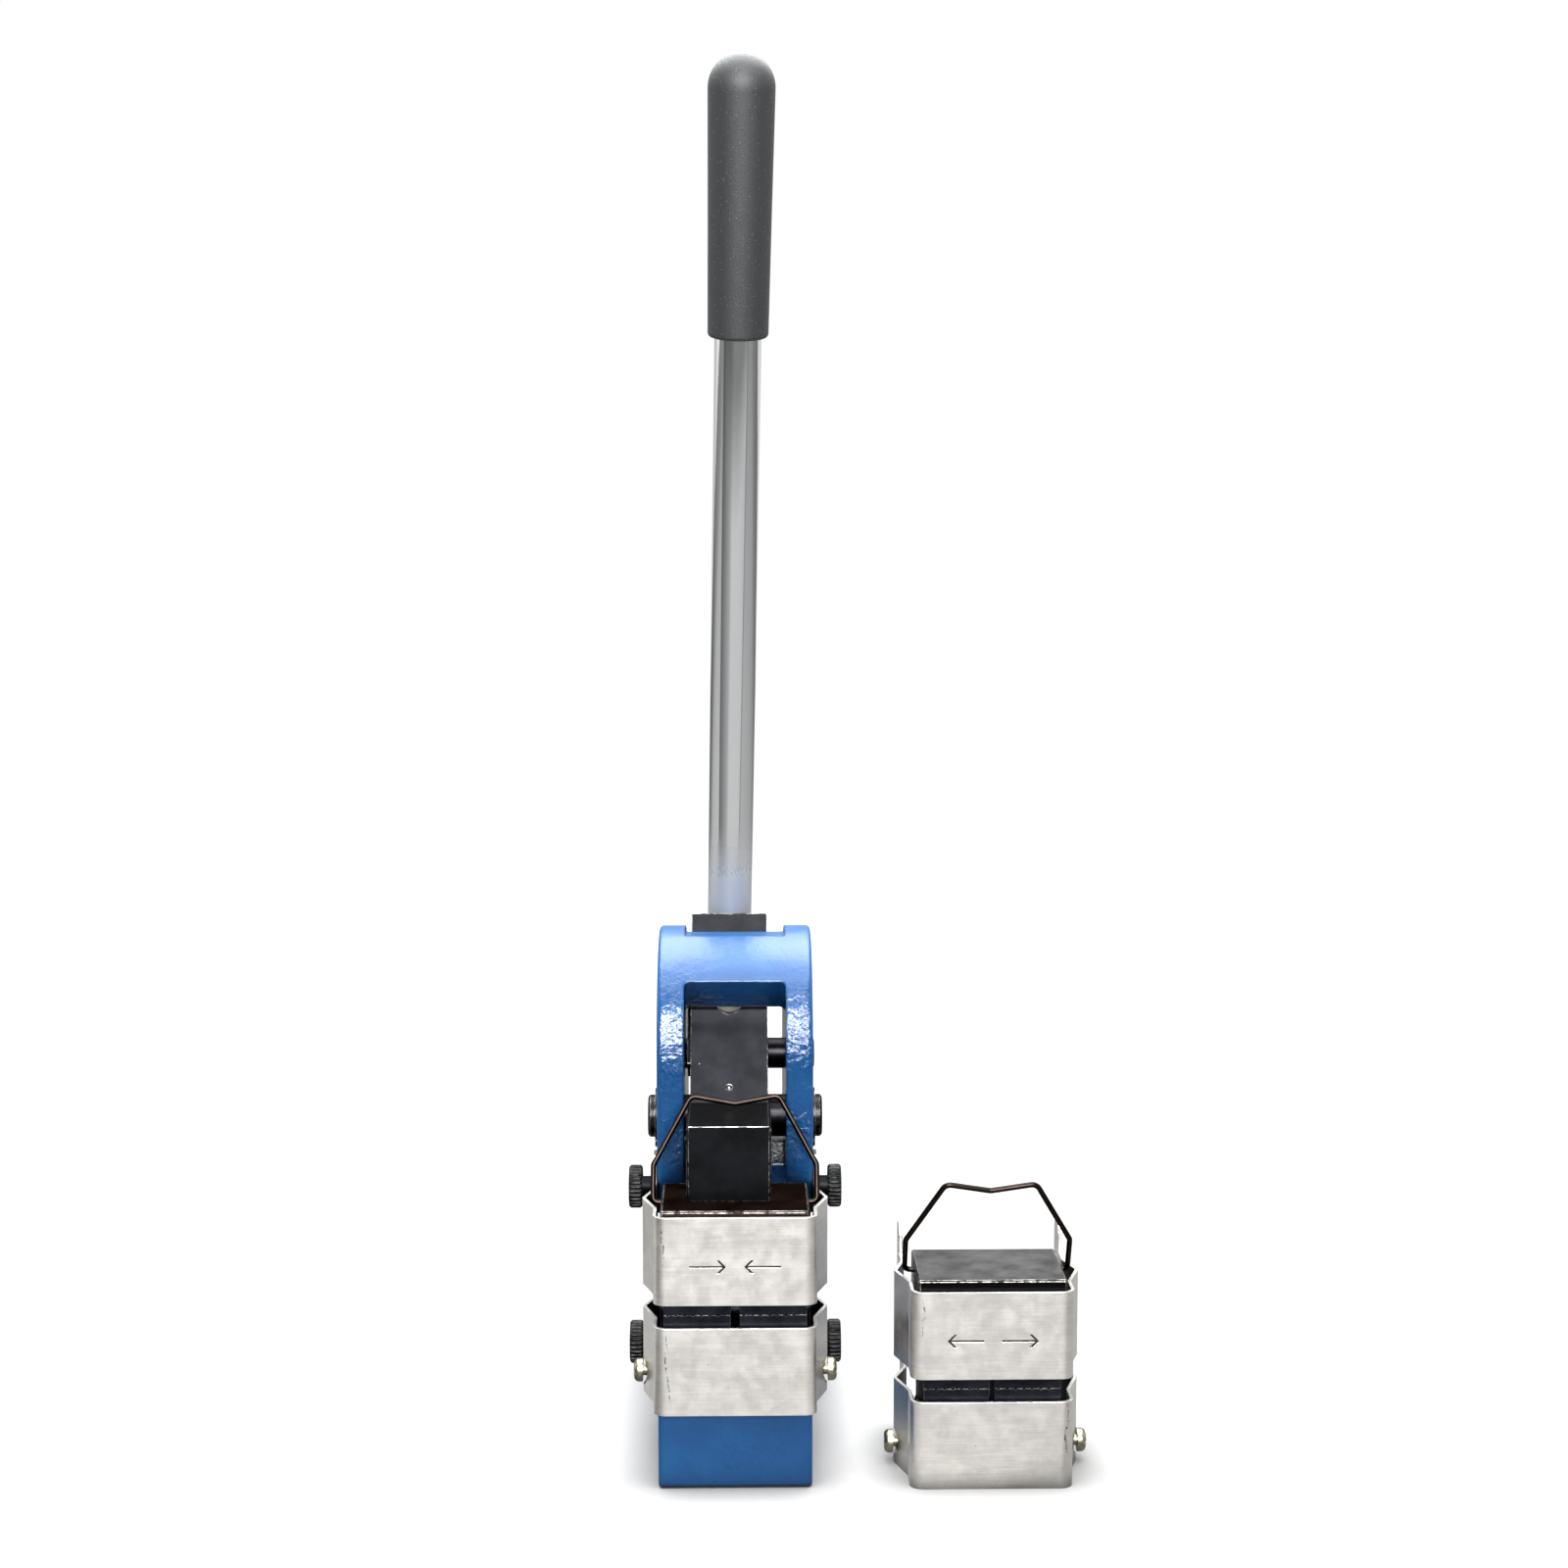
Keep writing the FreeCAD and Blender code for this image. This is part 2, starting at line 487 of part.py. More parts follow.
def lever_arm():
    along, across, mouth, lock, inward, lean = lever_place()
    half = number("socket_half")
    normal = vector(0, math.cos(lean), -math.sin(lean))
    arm = vector(0, math.sin(lean), math.cos(lean))
    straight = vector(0, -math.sin(math.radians(number("rod_lean"))),
                      math.cos(math.radians(number("rod_lean"))))
    flat_mouth = vector(0, mouth.y, mouth.z)
    # The socket's heel line stands half a socket behind the rod's axis
    heel_top = flat_mouth + across * half
    reach = (heel_top - flat_mouth).dot(arm) / straight.dot(arm)
    heel_top = heel_top - straight * reach
    heel = flat_mouth + across * half - straight * number("socket_heel")
    back_foot = vector(0, number("shoulder_y"), number("ram_top")) + normal * number("arm_thickness")
    socket_root = back_foot + arm * number("socket_start")
    pivot = vector(0, number("pivot_y"), number("pivot_z"))
    offset = (back_foot - pivot).dot(normal)
    chord = math.sqrt(number("boss_radius") ** 2 - offset ** 2)
    boss_end = pivot + normal * offset + arm * chord
    points = [
        vector(0, number("ram_nose_y"), number("ram_bottom")), vector(0, pivot.y, number("ram_bottom")),
        boss_end, socket_root, heel, heel_top,
        vector(0, number("arm_top_y"), number("arm_top_z")),
        vector(0, number("shoulder_y"), number("ram_top")),
        vector(0, number("ram_nose_y"), number("ram_top")),
    ]
    start = vector(-number("lever_offset + arm_width / 2"), 0, 0)
    outline = Part.makePolygon([point + start for point in points + points[:1]])
    arm_solid = Part.Face(outline).extrude(vector(number("arm_width"), 0, 0))
    boss = Part.makeCylinder(number("boss_radius"), number("arm_width"), start + pivot, vector(1, 0, 0))
    arm_solid = arm_solid.fuse(boss).removeSplitter()
    root = [edge for edge in arm_solid.Edges
            if edge.CenterOfMass.sub(points[7] + vector(-number("lever_offset"), 0, 0)).Length
            < number("arm_root")]
    arm_solid = arm_solid.makeFillet(number("arm_root"), root)
    crest = (points[5] + points[6]) / 2 - vector(number("lever_offset"), 0, 0)
    corners = [edge for edge in arm_solid.Edges
               if near(edge.CenterOfMass.sub(crest).Length, "arm_width / 2")
               and near(abs(edge.CenterOfMass.sub(crest).x), "arm_width / 2")]
    arm_solid = arm_solid.makeFillet(number("arm_corner_round"), corners)
    # A rib along the left flank's back half, which leaves no light between the arm and that cheek
    side = start - vector(number("flank_rib"), 0, 0)
    strip = [boss_end, socket_root, socket_root - normal * number("flank_rib_depth"),
             boss_end - normal * number("flank_rib_depth")]
    rib = Part.Face(Part.makePolygon([point + side for point in strip + strip[:1]]))
    arm_solid = arm_solid.fuse(rib.extrude(vector(number("flank_rib"), 0, 0)))
    arm_feature = solid_feature("arm_forging", arm_solid)
    ram = box("ram_block", ("-lever_offset - ram_width / 2", "ram_nose_y", "ram_bottom"),
              ("-lever_offset + ram_width / 2", "shoulder_y", "ram_top"))
    ram_eased = eased("ram_eased", ram, "Chamfer", "ram_chamfer", lambda edge, middle: (
        near(middle.z, "ram_top") and not near(middle.y, "shoulder_y")
        or near(middle.y, "ram_nose_y")))
    forging = fuse("lever_forging", arm_feature, ram_eased)
    bore = rod("lever_bore", "X", ("-lever_offset - ram_width", "pivot_y", "pivot_z"),
               "2 * ram_width", "pivot_diameter / 2 + pin_clearance")
    socket = solid_feature("rod_socket", Part.makeCylinder(
        number("rod_diameter / 2"), number("socket_depth + arm_thickness"),
        mouth - along * number("socket_depth"), along))
    counterbore = Part.makeCylinder(
        number("lock_bore / 2"), number("lock_bore_depth + arm_thickness"),
        lock - inward * number("arm_thickness"), inward)
    tapping = Part.makeCylinder(number("lock_thread / 2"), lock_length(), lock, inward)
    lock_hole = solid_feature("lock_hole", counterbore.fuse(tapping))
    # A small drilled dimple low on the arm's front face
    shoulder = vector(-number("lever_offset"), number("shoulder_y"), number("ram_top"))
    dimple = solid_feature("arm_dimple", Part.makeCone(
        number("dimple_diameter / 2"), 0, number("dimple_depth"),
        shoulder + arm * number("dimple_rise"), normal))
    return cut("lever_cut", forging, bore, socket, lock_hole, dimple)


def lock_length():
    # From the arm's face to where the screw's flat end meets the rod
    along, across, mouth, lock, inward, lean = lever_place()
    slant = inward.getAngle(across)
    reach = ((mouth - lock).dot(across) - number("rod_diameter / 2")) / math.cos(slant)
    return reach - number("lock_thread / 2") * math.tan(slant)


def handle_rod():
    along, across, mouth, lock, inward, lean = lever_place()
    bar = Part.makeCylinder(number("rod_diameter / 2"), number("rod_length + socket_depth"))
    ends = [edge for edge in bar.Edges if edge.Curve.TypeId == "Part::GeomCircle"]
    bar = bar.makeChamfer(number("rod_chamfer"), ends)
    feature = solid_feature("rod_bar", bar)
    feature.Placement = FreeCAD.Placement(mouth - along * number("socket_depth"),
                                          FreeCAD.Rotation(vector(0, 0, 1), along))
    return feature


def handle_grip():
    # A moulded sleeve, turned about the rod: rounded lip, slow swell, domed end
    along, across, mouth, lock, inward, lean = lever_place()
    top = number("grip_top_diameter / 2")
    foot = number("grip_bottom_diameter / 2")
    bore = number("rod_diameter / 2")
    length = number("grip_length")
    lip = number("grip_lip")
    shoulder = length - top
    middle_height = length * grip_waist_share
    waist = foot + (top - foot) * grip_waist_share
    profile = [
        Part.makeLine(vector(bore, 0, 0), vector(foot - lip, 0, 0)),
        Part.Arc(vector(foot - lip, 0, 0),
                 vector(foot - lip + lip * math.sin(eighth_turn), 0, lip - lip * math.cos(eighth_turn)),
                 vector(foot, 0, lip)).toShape(),
        Part.makeLine(vector(foot, 0, lip), vector(waist, 0, middle_height)),
        Part.makeLine(vector(waist, 0, middle_height), vector(top, 0, shoulder)),
        Part.Arc(vector(top, 0, shoulder),
                 vector(top * math.sin(eighth_turn), 0, shoulder + top * math.cos(eighth_turn)),
                 vector(0, 0, length)).toShape(),
        Part.makeLine(vector(0, 0, length), vector(0, 0, length - number("grip_cap"))),
        Part.makeLine(vector(0, 0, length - number("grip_cap")),
                      vector(bore, 0, length - number("grip_cap"))),
        Part.makeLine(vector(bore, 0, length - number("grip_cap")), vector(bore, 0, 0)),
    ]
    sleeve = Part.Face(Part.Wire(profile)).revolve(vector(), vector(0, 0, 1), 360)
    feature = solid_feature("grip_sleeve", sleeve)
    start = mouth + along * number("rod_length + grip_cap - grip_length")
    feature.Placement = FreeCAD.Placement(start, FreeCAD.Rotation(vector(0, 0, 1), along))
    return feature


def rod_lock_screw():
    along, across, mouth, lock, inward, lean = lever_place()
    seat = lock + inward * number("lock_bore_depth")
    face = seat - inward * number("lock_head_height")
    head = Part.makeCylinder(number("lock_head_diameter / 2"), number("lock_head_height"), face, inward)
    shank = Part.makeCylinder(number("lock_thread / 2"), lock_length() - number("lock_bore_depth"),
                              seat, inward)
    key = Part.makeCylinder(number("lock_socket / 2"), number("lock_head_height / 2"), face, inward)
    return solid_feature("lock_screw", head.fuse(shank).cut(key))


node(lever_arm(), "lever_arm")
node(handle_rod(), "handle_rod")
node(handle_grip(), "handle_grip")
node(rod_lock_screw(), "rod_lock_screw")


# Jaw sets

def mirror_x(points):
    return [vector(-point.x, point.y, point.z) for point in reversed(points)]


def cage_strip(name, centre, bottom, height, arm_outer):
    # A bent strip, open at the back, with a V bulge on each side
    half = number("cage_width / 2")
    front = -number("cage_front")
    past = number("cage_back + overrun")
    right = [
        vector(half, front, 0), vector(half, number("bulge_start"), 0),
        vector(half + number("bulge_out"), number("bulge_peak"), 0),
        vector(number(arm_outer), number("bulge_end"), 0), vector(number(arm_outer), past, 0),
    ]
    corner = number("cage_corner")
    bend = number("bend_round")
    radii = [corner, bend, number("bulge_round"), bend]
    path = mirror_x(right) + right
    edges = tangent_path(path, [bend, number("bulge_round"), bend, corner] + radii)
    closing = Part.makeLine(path[-1], path[0])
    outer = Part.Face(Part.Wire(edges + [closing]))
    inner = outer.makeOffset2D(-number("cage_wall"))
    strip = outer.cut(inner).extrude(vector(0, 0, number(height)))
    wide = 2 * past
    trim = Part.makeBox(2 * wide, wide, 2 * wide, vector(-wide, number("cage_back"), -wide))
    strip = strip.cut(trim)
    strip.translate(vector(number(centre), 0, number(bottom)))
    return solid_feature(name, strip)


def slotted_tabs(name, strip, centre, cage_top, *marks):
    # Cuts the strip down in front of the tabs, then slots the tabs for the thumb screws
    across = "head_width"
    room = box(f"{name}_room", (f"{centre} - {across}", "-cage_front - overrun", cage_top),
               (f"{centre} + {across}", "tab_start", f"{cage_top} + tab_rise + overrun"))
    radius = "(knob_screw / 2 + tab_slot_clearance)"
    knob = f"({cage_top} + shrinker_proud - upper_knob_drop)"
    slot_low = f"({knob} - jaw_lift)"
    tools = [room, box(f"{name}_slot", (f"{centre} - {across}", f"knob_y - {radius}", slot_low),
                       (f"{centre} + {across}", f"knob_y + {radius}", knob))]
    for word, height in (("low", slot_low), ("high", knob)):
        tools.append(rod(f"{name}_slot_{word}", "X", (f"{centre} - {across}", "knob_y", height),
                         f"2 * ({across})", radius))
    slotted = cut(f"{name}_slotted", strip, *tools, *marks)
    return eased(f"{name}_eased", slotted, "Fillet", "tab_round", lambda edge, middle: (
        near(edge.Length, "cage_wall") and near(middle.z, f"{cage_top} + tab_rise")))


def holed_cage(name, strip, centre, bottom):
    # Clear holes over the cage screws, and plain holes for the thumb screws
    across = "head_width"
    tools = [
        rod(f"{name}_clear", "X", (f"{centre} - {across}", "bulge_peak", f"{bottom} + cage_screw_rise"),
            f"2 * ({across})", "cage_hole_diameter / 2"),
        rod(f"{name}_plain", "X", (f"{centre} - {across}", "knob_y", f"{bottom} + lower_knob_rise"),
            f"2 * ({across})", "knob_screw / 2 + tab_slot_clearance"),
    ]
    return cut(f"{name}_holed", strip, *tools)


def arrow_cuts(name, kind, centre, bottom):
    # Two arrows that point where the dies go: together in the shrinker, apart in the stretcher
    length = number("mark_length")
    high = number("mark_half_height")
    thin = number("mark_stroke / 2")
    deep = number("mark_depth")
    slant = number("mark_stroke") / math.sin(eighth_turn)
    corners = [(0, 0), (-high, high), (-high - slant, high), (-slant - thin, thin), (-length, thin)]
    outline = corners + [(x, -z) for x, z in reversed(corners[1:])]
    arrows = []
    for side in (-1, 1):
        point = -side if kind == "shrinker" else side
        tip = number(f"{centre} + {side} * mark_inset") + (side * length if kind == "stretcher" else 0)
        level = number(f"{bottom} + mark_rise")
        points = [vector(tip + point * x, -number("cage_front + overrun"), level + z) for x, z in outline]
        face = Part.Face(Part.makePolygon(points + points[:1]))
        arrows.append(face.extrude(vector(0, number("overrun") + deep, 0)))
    return solid_feature(f"{name}_arrows", Part.makeCompound(arrows))


def wedge_heights(kind):
    # Heights above the die faces of the block's underside, at the side and in the middle
    if kind == "shrinker":
        return "wedge_foot", "wedge_peak"
    return "wedge_peak", "wedge_foot"


def wedge_block(name, kind, centre, face, turn, back):
    # The block's sloped underside is a roof in the shrinker and a ridge in the stretcher
    side_height, middle_height = wedge_heights(kind)
    half = "block_width / 2"
    corners = [
        (f"{centre} - {half}", f"{face} + {turn} * ({back})"),
        (f"{centre} - {half}", f"{face} + {turn} * ({side_height})"),
        (centre, f"{face} + {turn} * ({middle_height})"),
        (f"{centre} + {half}", f"{face} + {turn} * ({side_height})"),
        (f"{centre} + {half}", f"{face} + {turn} * ({back})"),
    ]
    block = prism(f"{name}_prism", "XZ", corners, "0", "block_depth")
    return eased(f"{name}_eased", block, "Chamfer", "block_chamfer", lambda edge, middle: (
        near(middle.z, f"{face} + {turn} * ({back})") or
        near(abs(middle.x - number(centre)), half) and upright(edge)))


def die(name, kind, centre, face, turn, side):
    # A hardened block: serrated face, upright sides and a back that lies on the wedge
    inner = f"{side} * ({kind}_die_gap) / 2"
    outer = f"{side} * {kind}_die_side"
    side_height, middle_height = wedge_heights(kind)
    slope = f"(({side_height}) - ({middle_height})) / (block_width / 2)"

    def back_at(across):
        return f"({middle_height} + {slope} * ({across}) - die_clearance / cos(wedge_angle))"

    corners = [
        (f"{centre} + {inner}", face),
        (f"{centre} + {inner}", f"{face} + {turn} * {back_at(f'{kind}_die_gap / 2')}"),
        (f"{centre} + {outer}", f"{face} + {turn} * {back_at(f'{kind}_die_side')}"),
        (f"{centre} + {outer}", face),
    ]
    block = prism(f"{name}_prism", "XZ", corners, "die_front", "die_depth")
    spring_z = f"{face} + {turn} * spring_height"
    radius = "spring_hole / 2"
    tools = []
    depth = "spring_hole_depth"
    if kind == "shrinker":
        start = f"{centre} + {inner}" + (f" - {depth}" if side < 0 else " - overrun")
    else:
        start = f"{centre} + {outer}" + (f" - {depth}" if side > 0 else " - overrun")
    tools.append(rod(f"{name}_spring_hole", "X", (start, "spring_y", spring_z),
                     f"{depth} + overrun", radius))
    low = number(face)
    inner_x = number(f"{centre} + {inner}")
    outer_x = number(f"{centre} + {outer}")
    pitch = number("tooth_pitch")
    deep = number("tooth_depth")
    left = min(inner_x, outer_x)
    count = int(abs(outer_x - inner_x) / pitch)
    grooves = []
    for index in range(count):
        at = left + pitch / 2 + index * pitch
        points = [vector(at - deep, 0, low), vector(at, 0, low + number(turn) * deep),
                  vector(at + deep, 0, low)]
        points = [point - vector(0, number("overrun"), 0) for point in points]
        groove = Part.Face(Part.makePolygon(points + points[:1]))
        grooves.append(groove.extrude(vector(0, number("die_depth + 3 * overrun"), 0)))
    tools.append(solid_feature(f"{name}_grooves", Part.makeCompound(grooves)))
    return cut(f"{name}_cut", block, *tools)


def spring_sleeve(name, x_low, length, height):
    # The coil spring's envelope: a sleeve as thick as its wire
    outer = rod(f"{name}_outer", "X", (x_low, "spring_y", height), length, "spring_diameter / 2")
    inner = rod(f"{name}_inner", "X", (f"{x_low} - overrun", "spring_y", height),
                f"{length} + 2 * overrun", "spring_diameter / 2 - spring_wire")
    return cut(f"{name}_sleeve", outer, inner)


def return_springs(name, kind, centre, face, turn):
    height = f"{face} + {turn} * spring_height"
    gap = f"{kind}_die_gap"
    depth = "spring_hole_depth"
    if kind == "shrinker":
        return spring_sleeve(name, f"{centre} - ({gap}) / 2 - {depth}", f"{gap} + 2 * {depth}", height)
    wall = "(cage_width / 2 - cage_wall)"
    length = f"({wall} - stretcher_die_side + {depth})"
    left = spring_sleeve(f"{name}_left", f"{centre} - {wall}", length, height)
    right = spring_sleeve(f"{name}_right", f"{centre} + stretcher_die_side - {depth}", length, height)
    doc.recompute()
    return solid_feature(f"{name}_pair", Part.makeCompound([left.Shape.copy(), right.Shape.copy()]))


def cage_screw(name, centre, bottom, side):
    # A round-head screw with a cross of two slots, its head just proud of the bulge
    head_x = "(bulge_outer + pin_clearance)"
    height = f"{bottom} + cage_screw_rise"
    shank_x = "(block_width / 2 - cage_screw_grip)"
    start = f"{centre} + {shank_x}" if side > 0 else f"{centre} - {head_x}"
    shank = rod(f"{name}_shank", "X", (start, "bulge_peak", height), f"{head_x} - {shank_x}",
                "cage_screw_shank / 2")
    head_start = f"{centre} + {head_x}" if side > 0 else f"{centre} - {head_x} - cage_screw_head_height"
    head = rod(f"{name}_head", "X", (head_start, "bulge_peak", height), "cage_screw_head_height",
               "cage_screw_head / 2")
    outer_x = f"({head_x} + cage_screw_head_height)"
    domed = eased(f"{name}_dome", head, "Fillet", "cage_screw_dome", lambda edge, middle: (
        near(abs(middle.x - number(centre)), outer_x)))
    deep = "cage_screw_slot_depth"
    low = f"{centre} + {outer_x} - {deep}" if side > 0 else f"{centre} - {outer_x} - overrun"
    high = f"{centre} + {outer_x} + overrun" if side > 0 else f"{centre} - {outer_x} + {deep}"
    wide = "(cage_screw_head / 2 + overrun)"
    narrow = "(cage_screw_slot / 2)"
    slots = []
    for word, across, tall in (("level", wide, narrow), ("upright", narrow, wide)):
        slots.append(box(f"{name}_slot_{word}", (low, f"bulge_peak - {across}", f"{height} - {tall}"),
                         (high, f"bulge_peak + {across}", f"{height} + {tall}")))
    return cut(f"{name}_cut", fuse(f"{name}_body", shank, domed), *slots)


def bail_wire(name, centre, plate, lean):
    # Feet in the block, straight legs, slanted shoulders and a shallow V over the top
    reach = number("bail_reach")
    dip = number("bail_low")
    leg = number("bail_leg")
    side = [
        vector(leg - number("bail_foot"), 0, 0), vector(leg, 0, 0),
        vector(leg, 0, number("bail_straight")), vector(number("bail_corner"), 0, reach),
    ]
    points = side + [vector(0, 0, dip)] + mirror_x(side)
    bend = number("bail_round")
    foot_bend = number("wire_diameter")
    radii = [foot_bend, bend, bend, bend, bend, bend, foot_bend]
    edges = tangent_path(points, radii)
    radius = number("wire_diameter / 2")
    section = Part.Wire(Part.makeCircle(radius, points[0], vector(1, 0, 0)))
    spine = Part.Wire(edges)
    wire = spine.makePipeShell([section], True, False)
    length = sum(edge.Length for edge in edges)
    print(name, "wire volume over section times length",
          round(wire.Volume / (math.pi * radius ** 2 * length), 4))
    feature = solid_feature(name, wire)
    pivot = vector(number(centre), number("bail_pivot_y"), number(f"{plate} - bail_pivot_drop"))
    turn = FreeCAD.Rotation(vector(1, 0, 0), -lean)
    feature.Placement = FreeCAD.Placement(pivot, turn)
    return feature


def jaw_set(kind, centre, base, plate, bail_lean):
    face = f"({base} + face_rise)"
    cage_top = f"({base} + 2 * cage_height + cage_space)"
    upper_bottom = f"{base} + cage_height + cage_space"
    strip = cage_strip(f"{kind}_upper_strip", centre, upper_bottom, "cage_height + tab_rise",
                       "upper_arm_outer")
    arrows = arrow_cuts(f"{kind}_upper_cage", kind, centre, upper_bottom)
    upper_cage = slotted_tabs(f"{kind}_upper_cage", strip, centre, cage_top, arrows)
    node(upper_cage, f"{kind}_upper_cage")

    upper_back = f"({plate}) - {face}"
    lower_back = "face_rise - block_recess"
    upper = wedge_block(f"{kind}_upper_block", kind, centre, face, "1", upper_back)
    feet = rod(f"{kind}_foot_holes", "X", (f"{centre} - head_width", "bail_pivot_y",
                                          f"{plate} - bail_pivot_drop"),
               "2 * head_width", "wire_hole / 2")
    core = box(f"{kind}_foot_core", (f"{centre} - bail_leg + bail_foot + pin_clearance", "0", face),
               (f"{centre} + bail_leg - bail_foot - pin_clearance", "block_depth", plate))
    node(cut(f"{kind}_upper_block_cut", upper, cut(f"{kind}_foot_bores", feet, core)),
         f"{kind}_upper_wedge_block")
    for side, word in ((-1, "left"), (1, "right")):
        node(die(f"{kind}_upper_die_{word}", kind, centre, face, "1", side), f"{kind}_upper_die_{word}")
    node(return_springs(f"{kind}_upper_spring", kind, centre, face, "1"), f"{kind}_upper_return_spring")
    node(bail_wire(f"{kind}_bail", centre, plate, bail_lean), f"{kind}_bail")

    lower_strip = cage_strip(f"{kind}_lower_strip", centre, base, "cage_height", "cage_width / 2")
    node(holed_cage(f"{kind}_lower_cage", lower_strip, centre, base), f"{kind}_lower_cage")
    lower = wedge_block(f"{kind}_lower_block", kind, centre, face, "-1", lower_back)
    screw_bores = []
    for side, word in ((-1, "left"), (1, "right")):
        shank_x = "(block_width / 2 - cage_screw_grip)"
        start = f"{centre} + {shank_x}" if side > 0 else f"{centre} - {shank_x} - cage_screw_grip - overrun"
        screw_bores.append(rod(f"{kind}_tap_{word}", "X", (start, "bulge_peak", f"{base} + cage_screw_rise"),
                               "cage_screw_grip + overrun", "cage_screw_shank / 2"))
    node(cut(f"{kind}_lower_block_cut", lower, *screw_bores), f"{kind}_lower_wedge_block")
    for side, word in ((-1, "left"), (1, "right")):
        node(die(f"{kind}_lower_die_{word}", kind, centre, face, "-1", side), f"{kind}_lower_die_{word}")
    node(return_springs(f"{kind}_lower_spring", kind, centre, face, "-1"), f"{kind}_lower_return_spring")
    for side, word in ((-1, "left"), (1, "right")):
        node(cage_screw(f"{kind}_screw_{word}", centre, base, side), f"{kind}_cage_screw_{word}")


jaw_set("shrinker", "0", "cage_base", "shrinker_plate", number("bail_back_angle"))
jaw_set("stretcher", "spare_x", "0", "stretcher_plate", -number("bail_front_angle"))


# Thumb screws

def thumb_screw(name, side, height, arm_outer):
    # Fluted head, shoulder that stops at the cage's arm, and the screw itself
    radius = number("knob_diameter / 2")
    flute = number("knob_flute / 2")
    deep = number("knob_flute_depth")
    head = Part.makeCylinder(radius, number("knob_thickness"))
    rims = [edge for edge in head.Edges if edge.Curve.TypeId == "Part::GeomCircle"]
    head = head.makeChamfer(number("knob_chamfer"), rims)
    flutes = []
    for index in range(knob_flutes):
        angle = 2 * math.pi * index / knob_flutes
        reach = radius + flute - deep
        flutes.append(Part.makeCylinder(flute, number("knob_thickness"),
                                        vector(reach * math.cos(angle), reach * math.sin(angle), 0)))
    head = head.cut(Part.makeCompound(flutes))
    seat = number(f"{arm_outer} + knob_seat_gap")
    inset = number("knob_inset")
    shoulder = Part.makeCylinder(number("knob_shoulder / 2"), inset - seat, vector(0, 0, seat - inset))
    end = number("knob_screw_end")
    screw = Part.makeCylinder(number("knob_screw / 2"), seat - end, vector(0, 0, end - inset))
    feature = solid_feature(name, head.fuse([shoulder, screw]).removeSplitter())
    out = vector(side, 0, 0)
    feature.Placement = FreeCAD.Placement(
        vector(side * inset, number("knob_y"), number(height)), FreeCAD.Rotation(vector(0, 0, 1), out))
    return feature


for level, level_z, level_outer in (("upper", "upper_knob_z", "upper_arm_outer"),
                                    ("lower", "lower_knob_z", "cage_width / 2")):
    for knob_side, knob_word in ((-1, "left"), (1, "right")):
        knob_name = f"thumb_screw_{level}_{knob_word}"
        node(thumb_screw(f"{knob_name}_body", knob_side, level_z, level_outer), knob_name)


# Check and write

doc.recompute()
under_pivot = FreeCAD.Placement(vector(0, -number("pivot_y"), 0), FreeCAD.Rotation())
for thing in nodes:
    thing.Placement = under_pivot * thing.Placement
doc.recompute()
for thing in doc.Objects:
    if "Invalid" in thing.State or "Error" in thing.State:
        raise RuntimeError(f"{thing.Name} failed: {thing.State}")
os.makedirs("parts", exist_ok=True)
for thing in nodes:
    shape = thing.Shape
    if shape.isNull() or not shape.isValid() or not shape.Solids:
        raise RuntimeError(f"{thing.Label} has no valid shape")
    shape.exportStep(f"parts/{thing.Label}.step")
    print(thing.Label, len(shape.Solids), "solid,", round(shape.Volume / 1000, 2), "cm3")
print("pivot", number("pivot_y"), round(number("pivot_z"), 3), "nodes", len(nodes))
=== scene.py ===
import math
import bpy
import bmesh
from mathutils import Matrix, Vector


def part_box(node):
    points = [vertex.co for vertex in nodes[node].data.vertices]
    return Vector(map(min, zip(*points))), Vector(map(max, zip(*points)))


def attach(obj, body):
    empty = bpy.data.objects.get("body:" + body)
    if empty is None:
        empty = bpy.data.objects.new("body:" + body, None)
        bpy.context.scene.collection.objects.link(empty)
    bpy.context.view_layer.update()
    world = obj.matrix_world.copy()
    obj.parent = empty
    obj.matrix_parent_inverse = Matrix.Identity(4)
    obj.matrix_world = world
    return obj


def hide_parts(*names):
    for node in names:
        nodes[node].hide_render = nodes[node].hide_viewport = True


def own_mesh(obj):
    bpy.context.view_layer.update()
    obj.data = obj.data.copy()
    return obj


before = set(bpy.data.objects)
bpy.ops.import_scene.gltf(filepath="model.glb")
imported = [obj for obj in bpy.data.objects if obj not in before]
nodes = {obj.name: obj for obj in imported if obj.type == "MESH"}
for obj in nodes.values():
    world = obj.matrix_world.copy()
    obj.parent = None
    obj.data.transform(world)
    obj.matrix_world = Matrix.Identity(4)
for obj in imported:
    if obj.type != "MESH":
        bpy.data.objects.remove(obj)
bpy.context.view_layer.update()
millimetre = 0.001
print("frame loaded:", len(nodes), "nodes")


# Colours, nodes and materials

def linear(hexColour):
    # An sRGB hex colour as the linear values that shaders take
    channels = [int(hexColour[at:at + 2], 16) / 255 for at in (1, 3, 5)]
    return [c / 12.92 if c <= 0.04045 else ((c + 0.055) / 1.055) ** 2.4 for c in channels] + [1]


def perFeature(size):
    # Texture scale that makes one feature this many millimetres wide
    return 1 / (size * millimetre)


def addNode(tree, kind, inputs=None, stops=None, **settings):
    node = tree.nodes.new("ShaderNode" + kind)
    for name, value in settings.items():
        setattr(node, name, value)
    if stops:
        elements = node.color_ramp.elements
        while len(elements) < len(stops):
            elements.new(1)
        for element, (place, colour) in zip(elements, stops):
            element.position = place
            element.color = linear(colour)
    for key, value in (inputs or {}).items():
        if isinstance(value, bpy.types.NodeSocket):
            tree.links.new(value, node.inputs[key])
        else:
            node.inputs[key].default_value = value
    return node


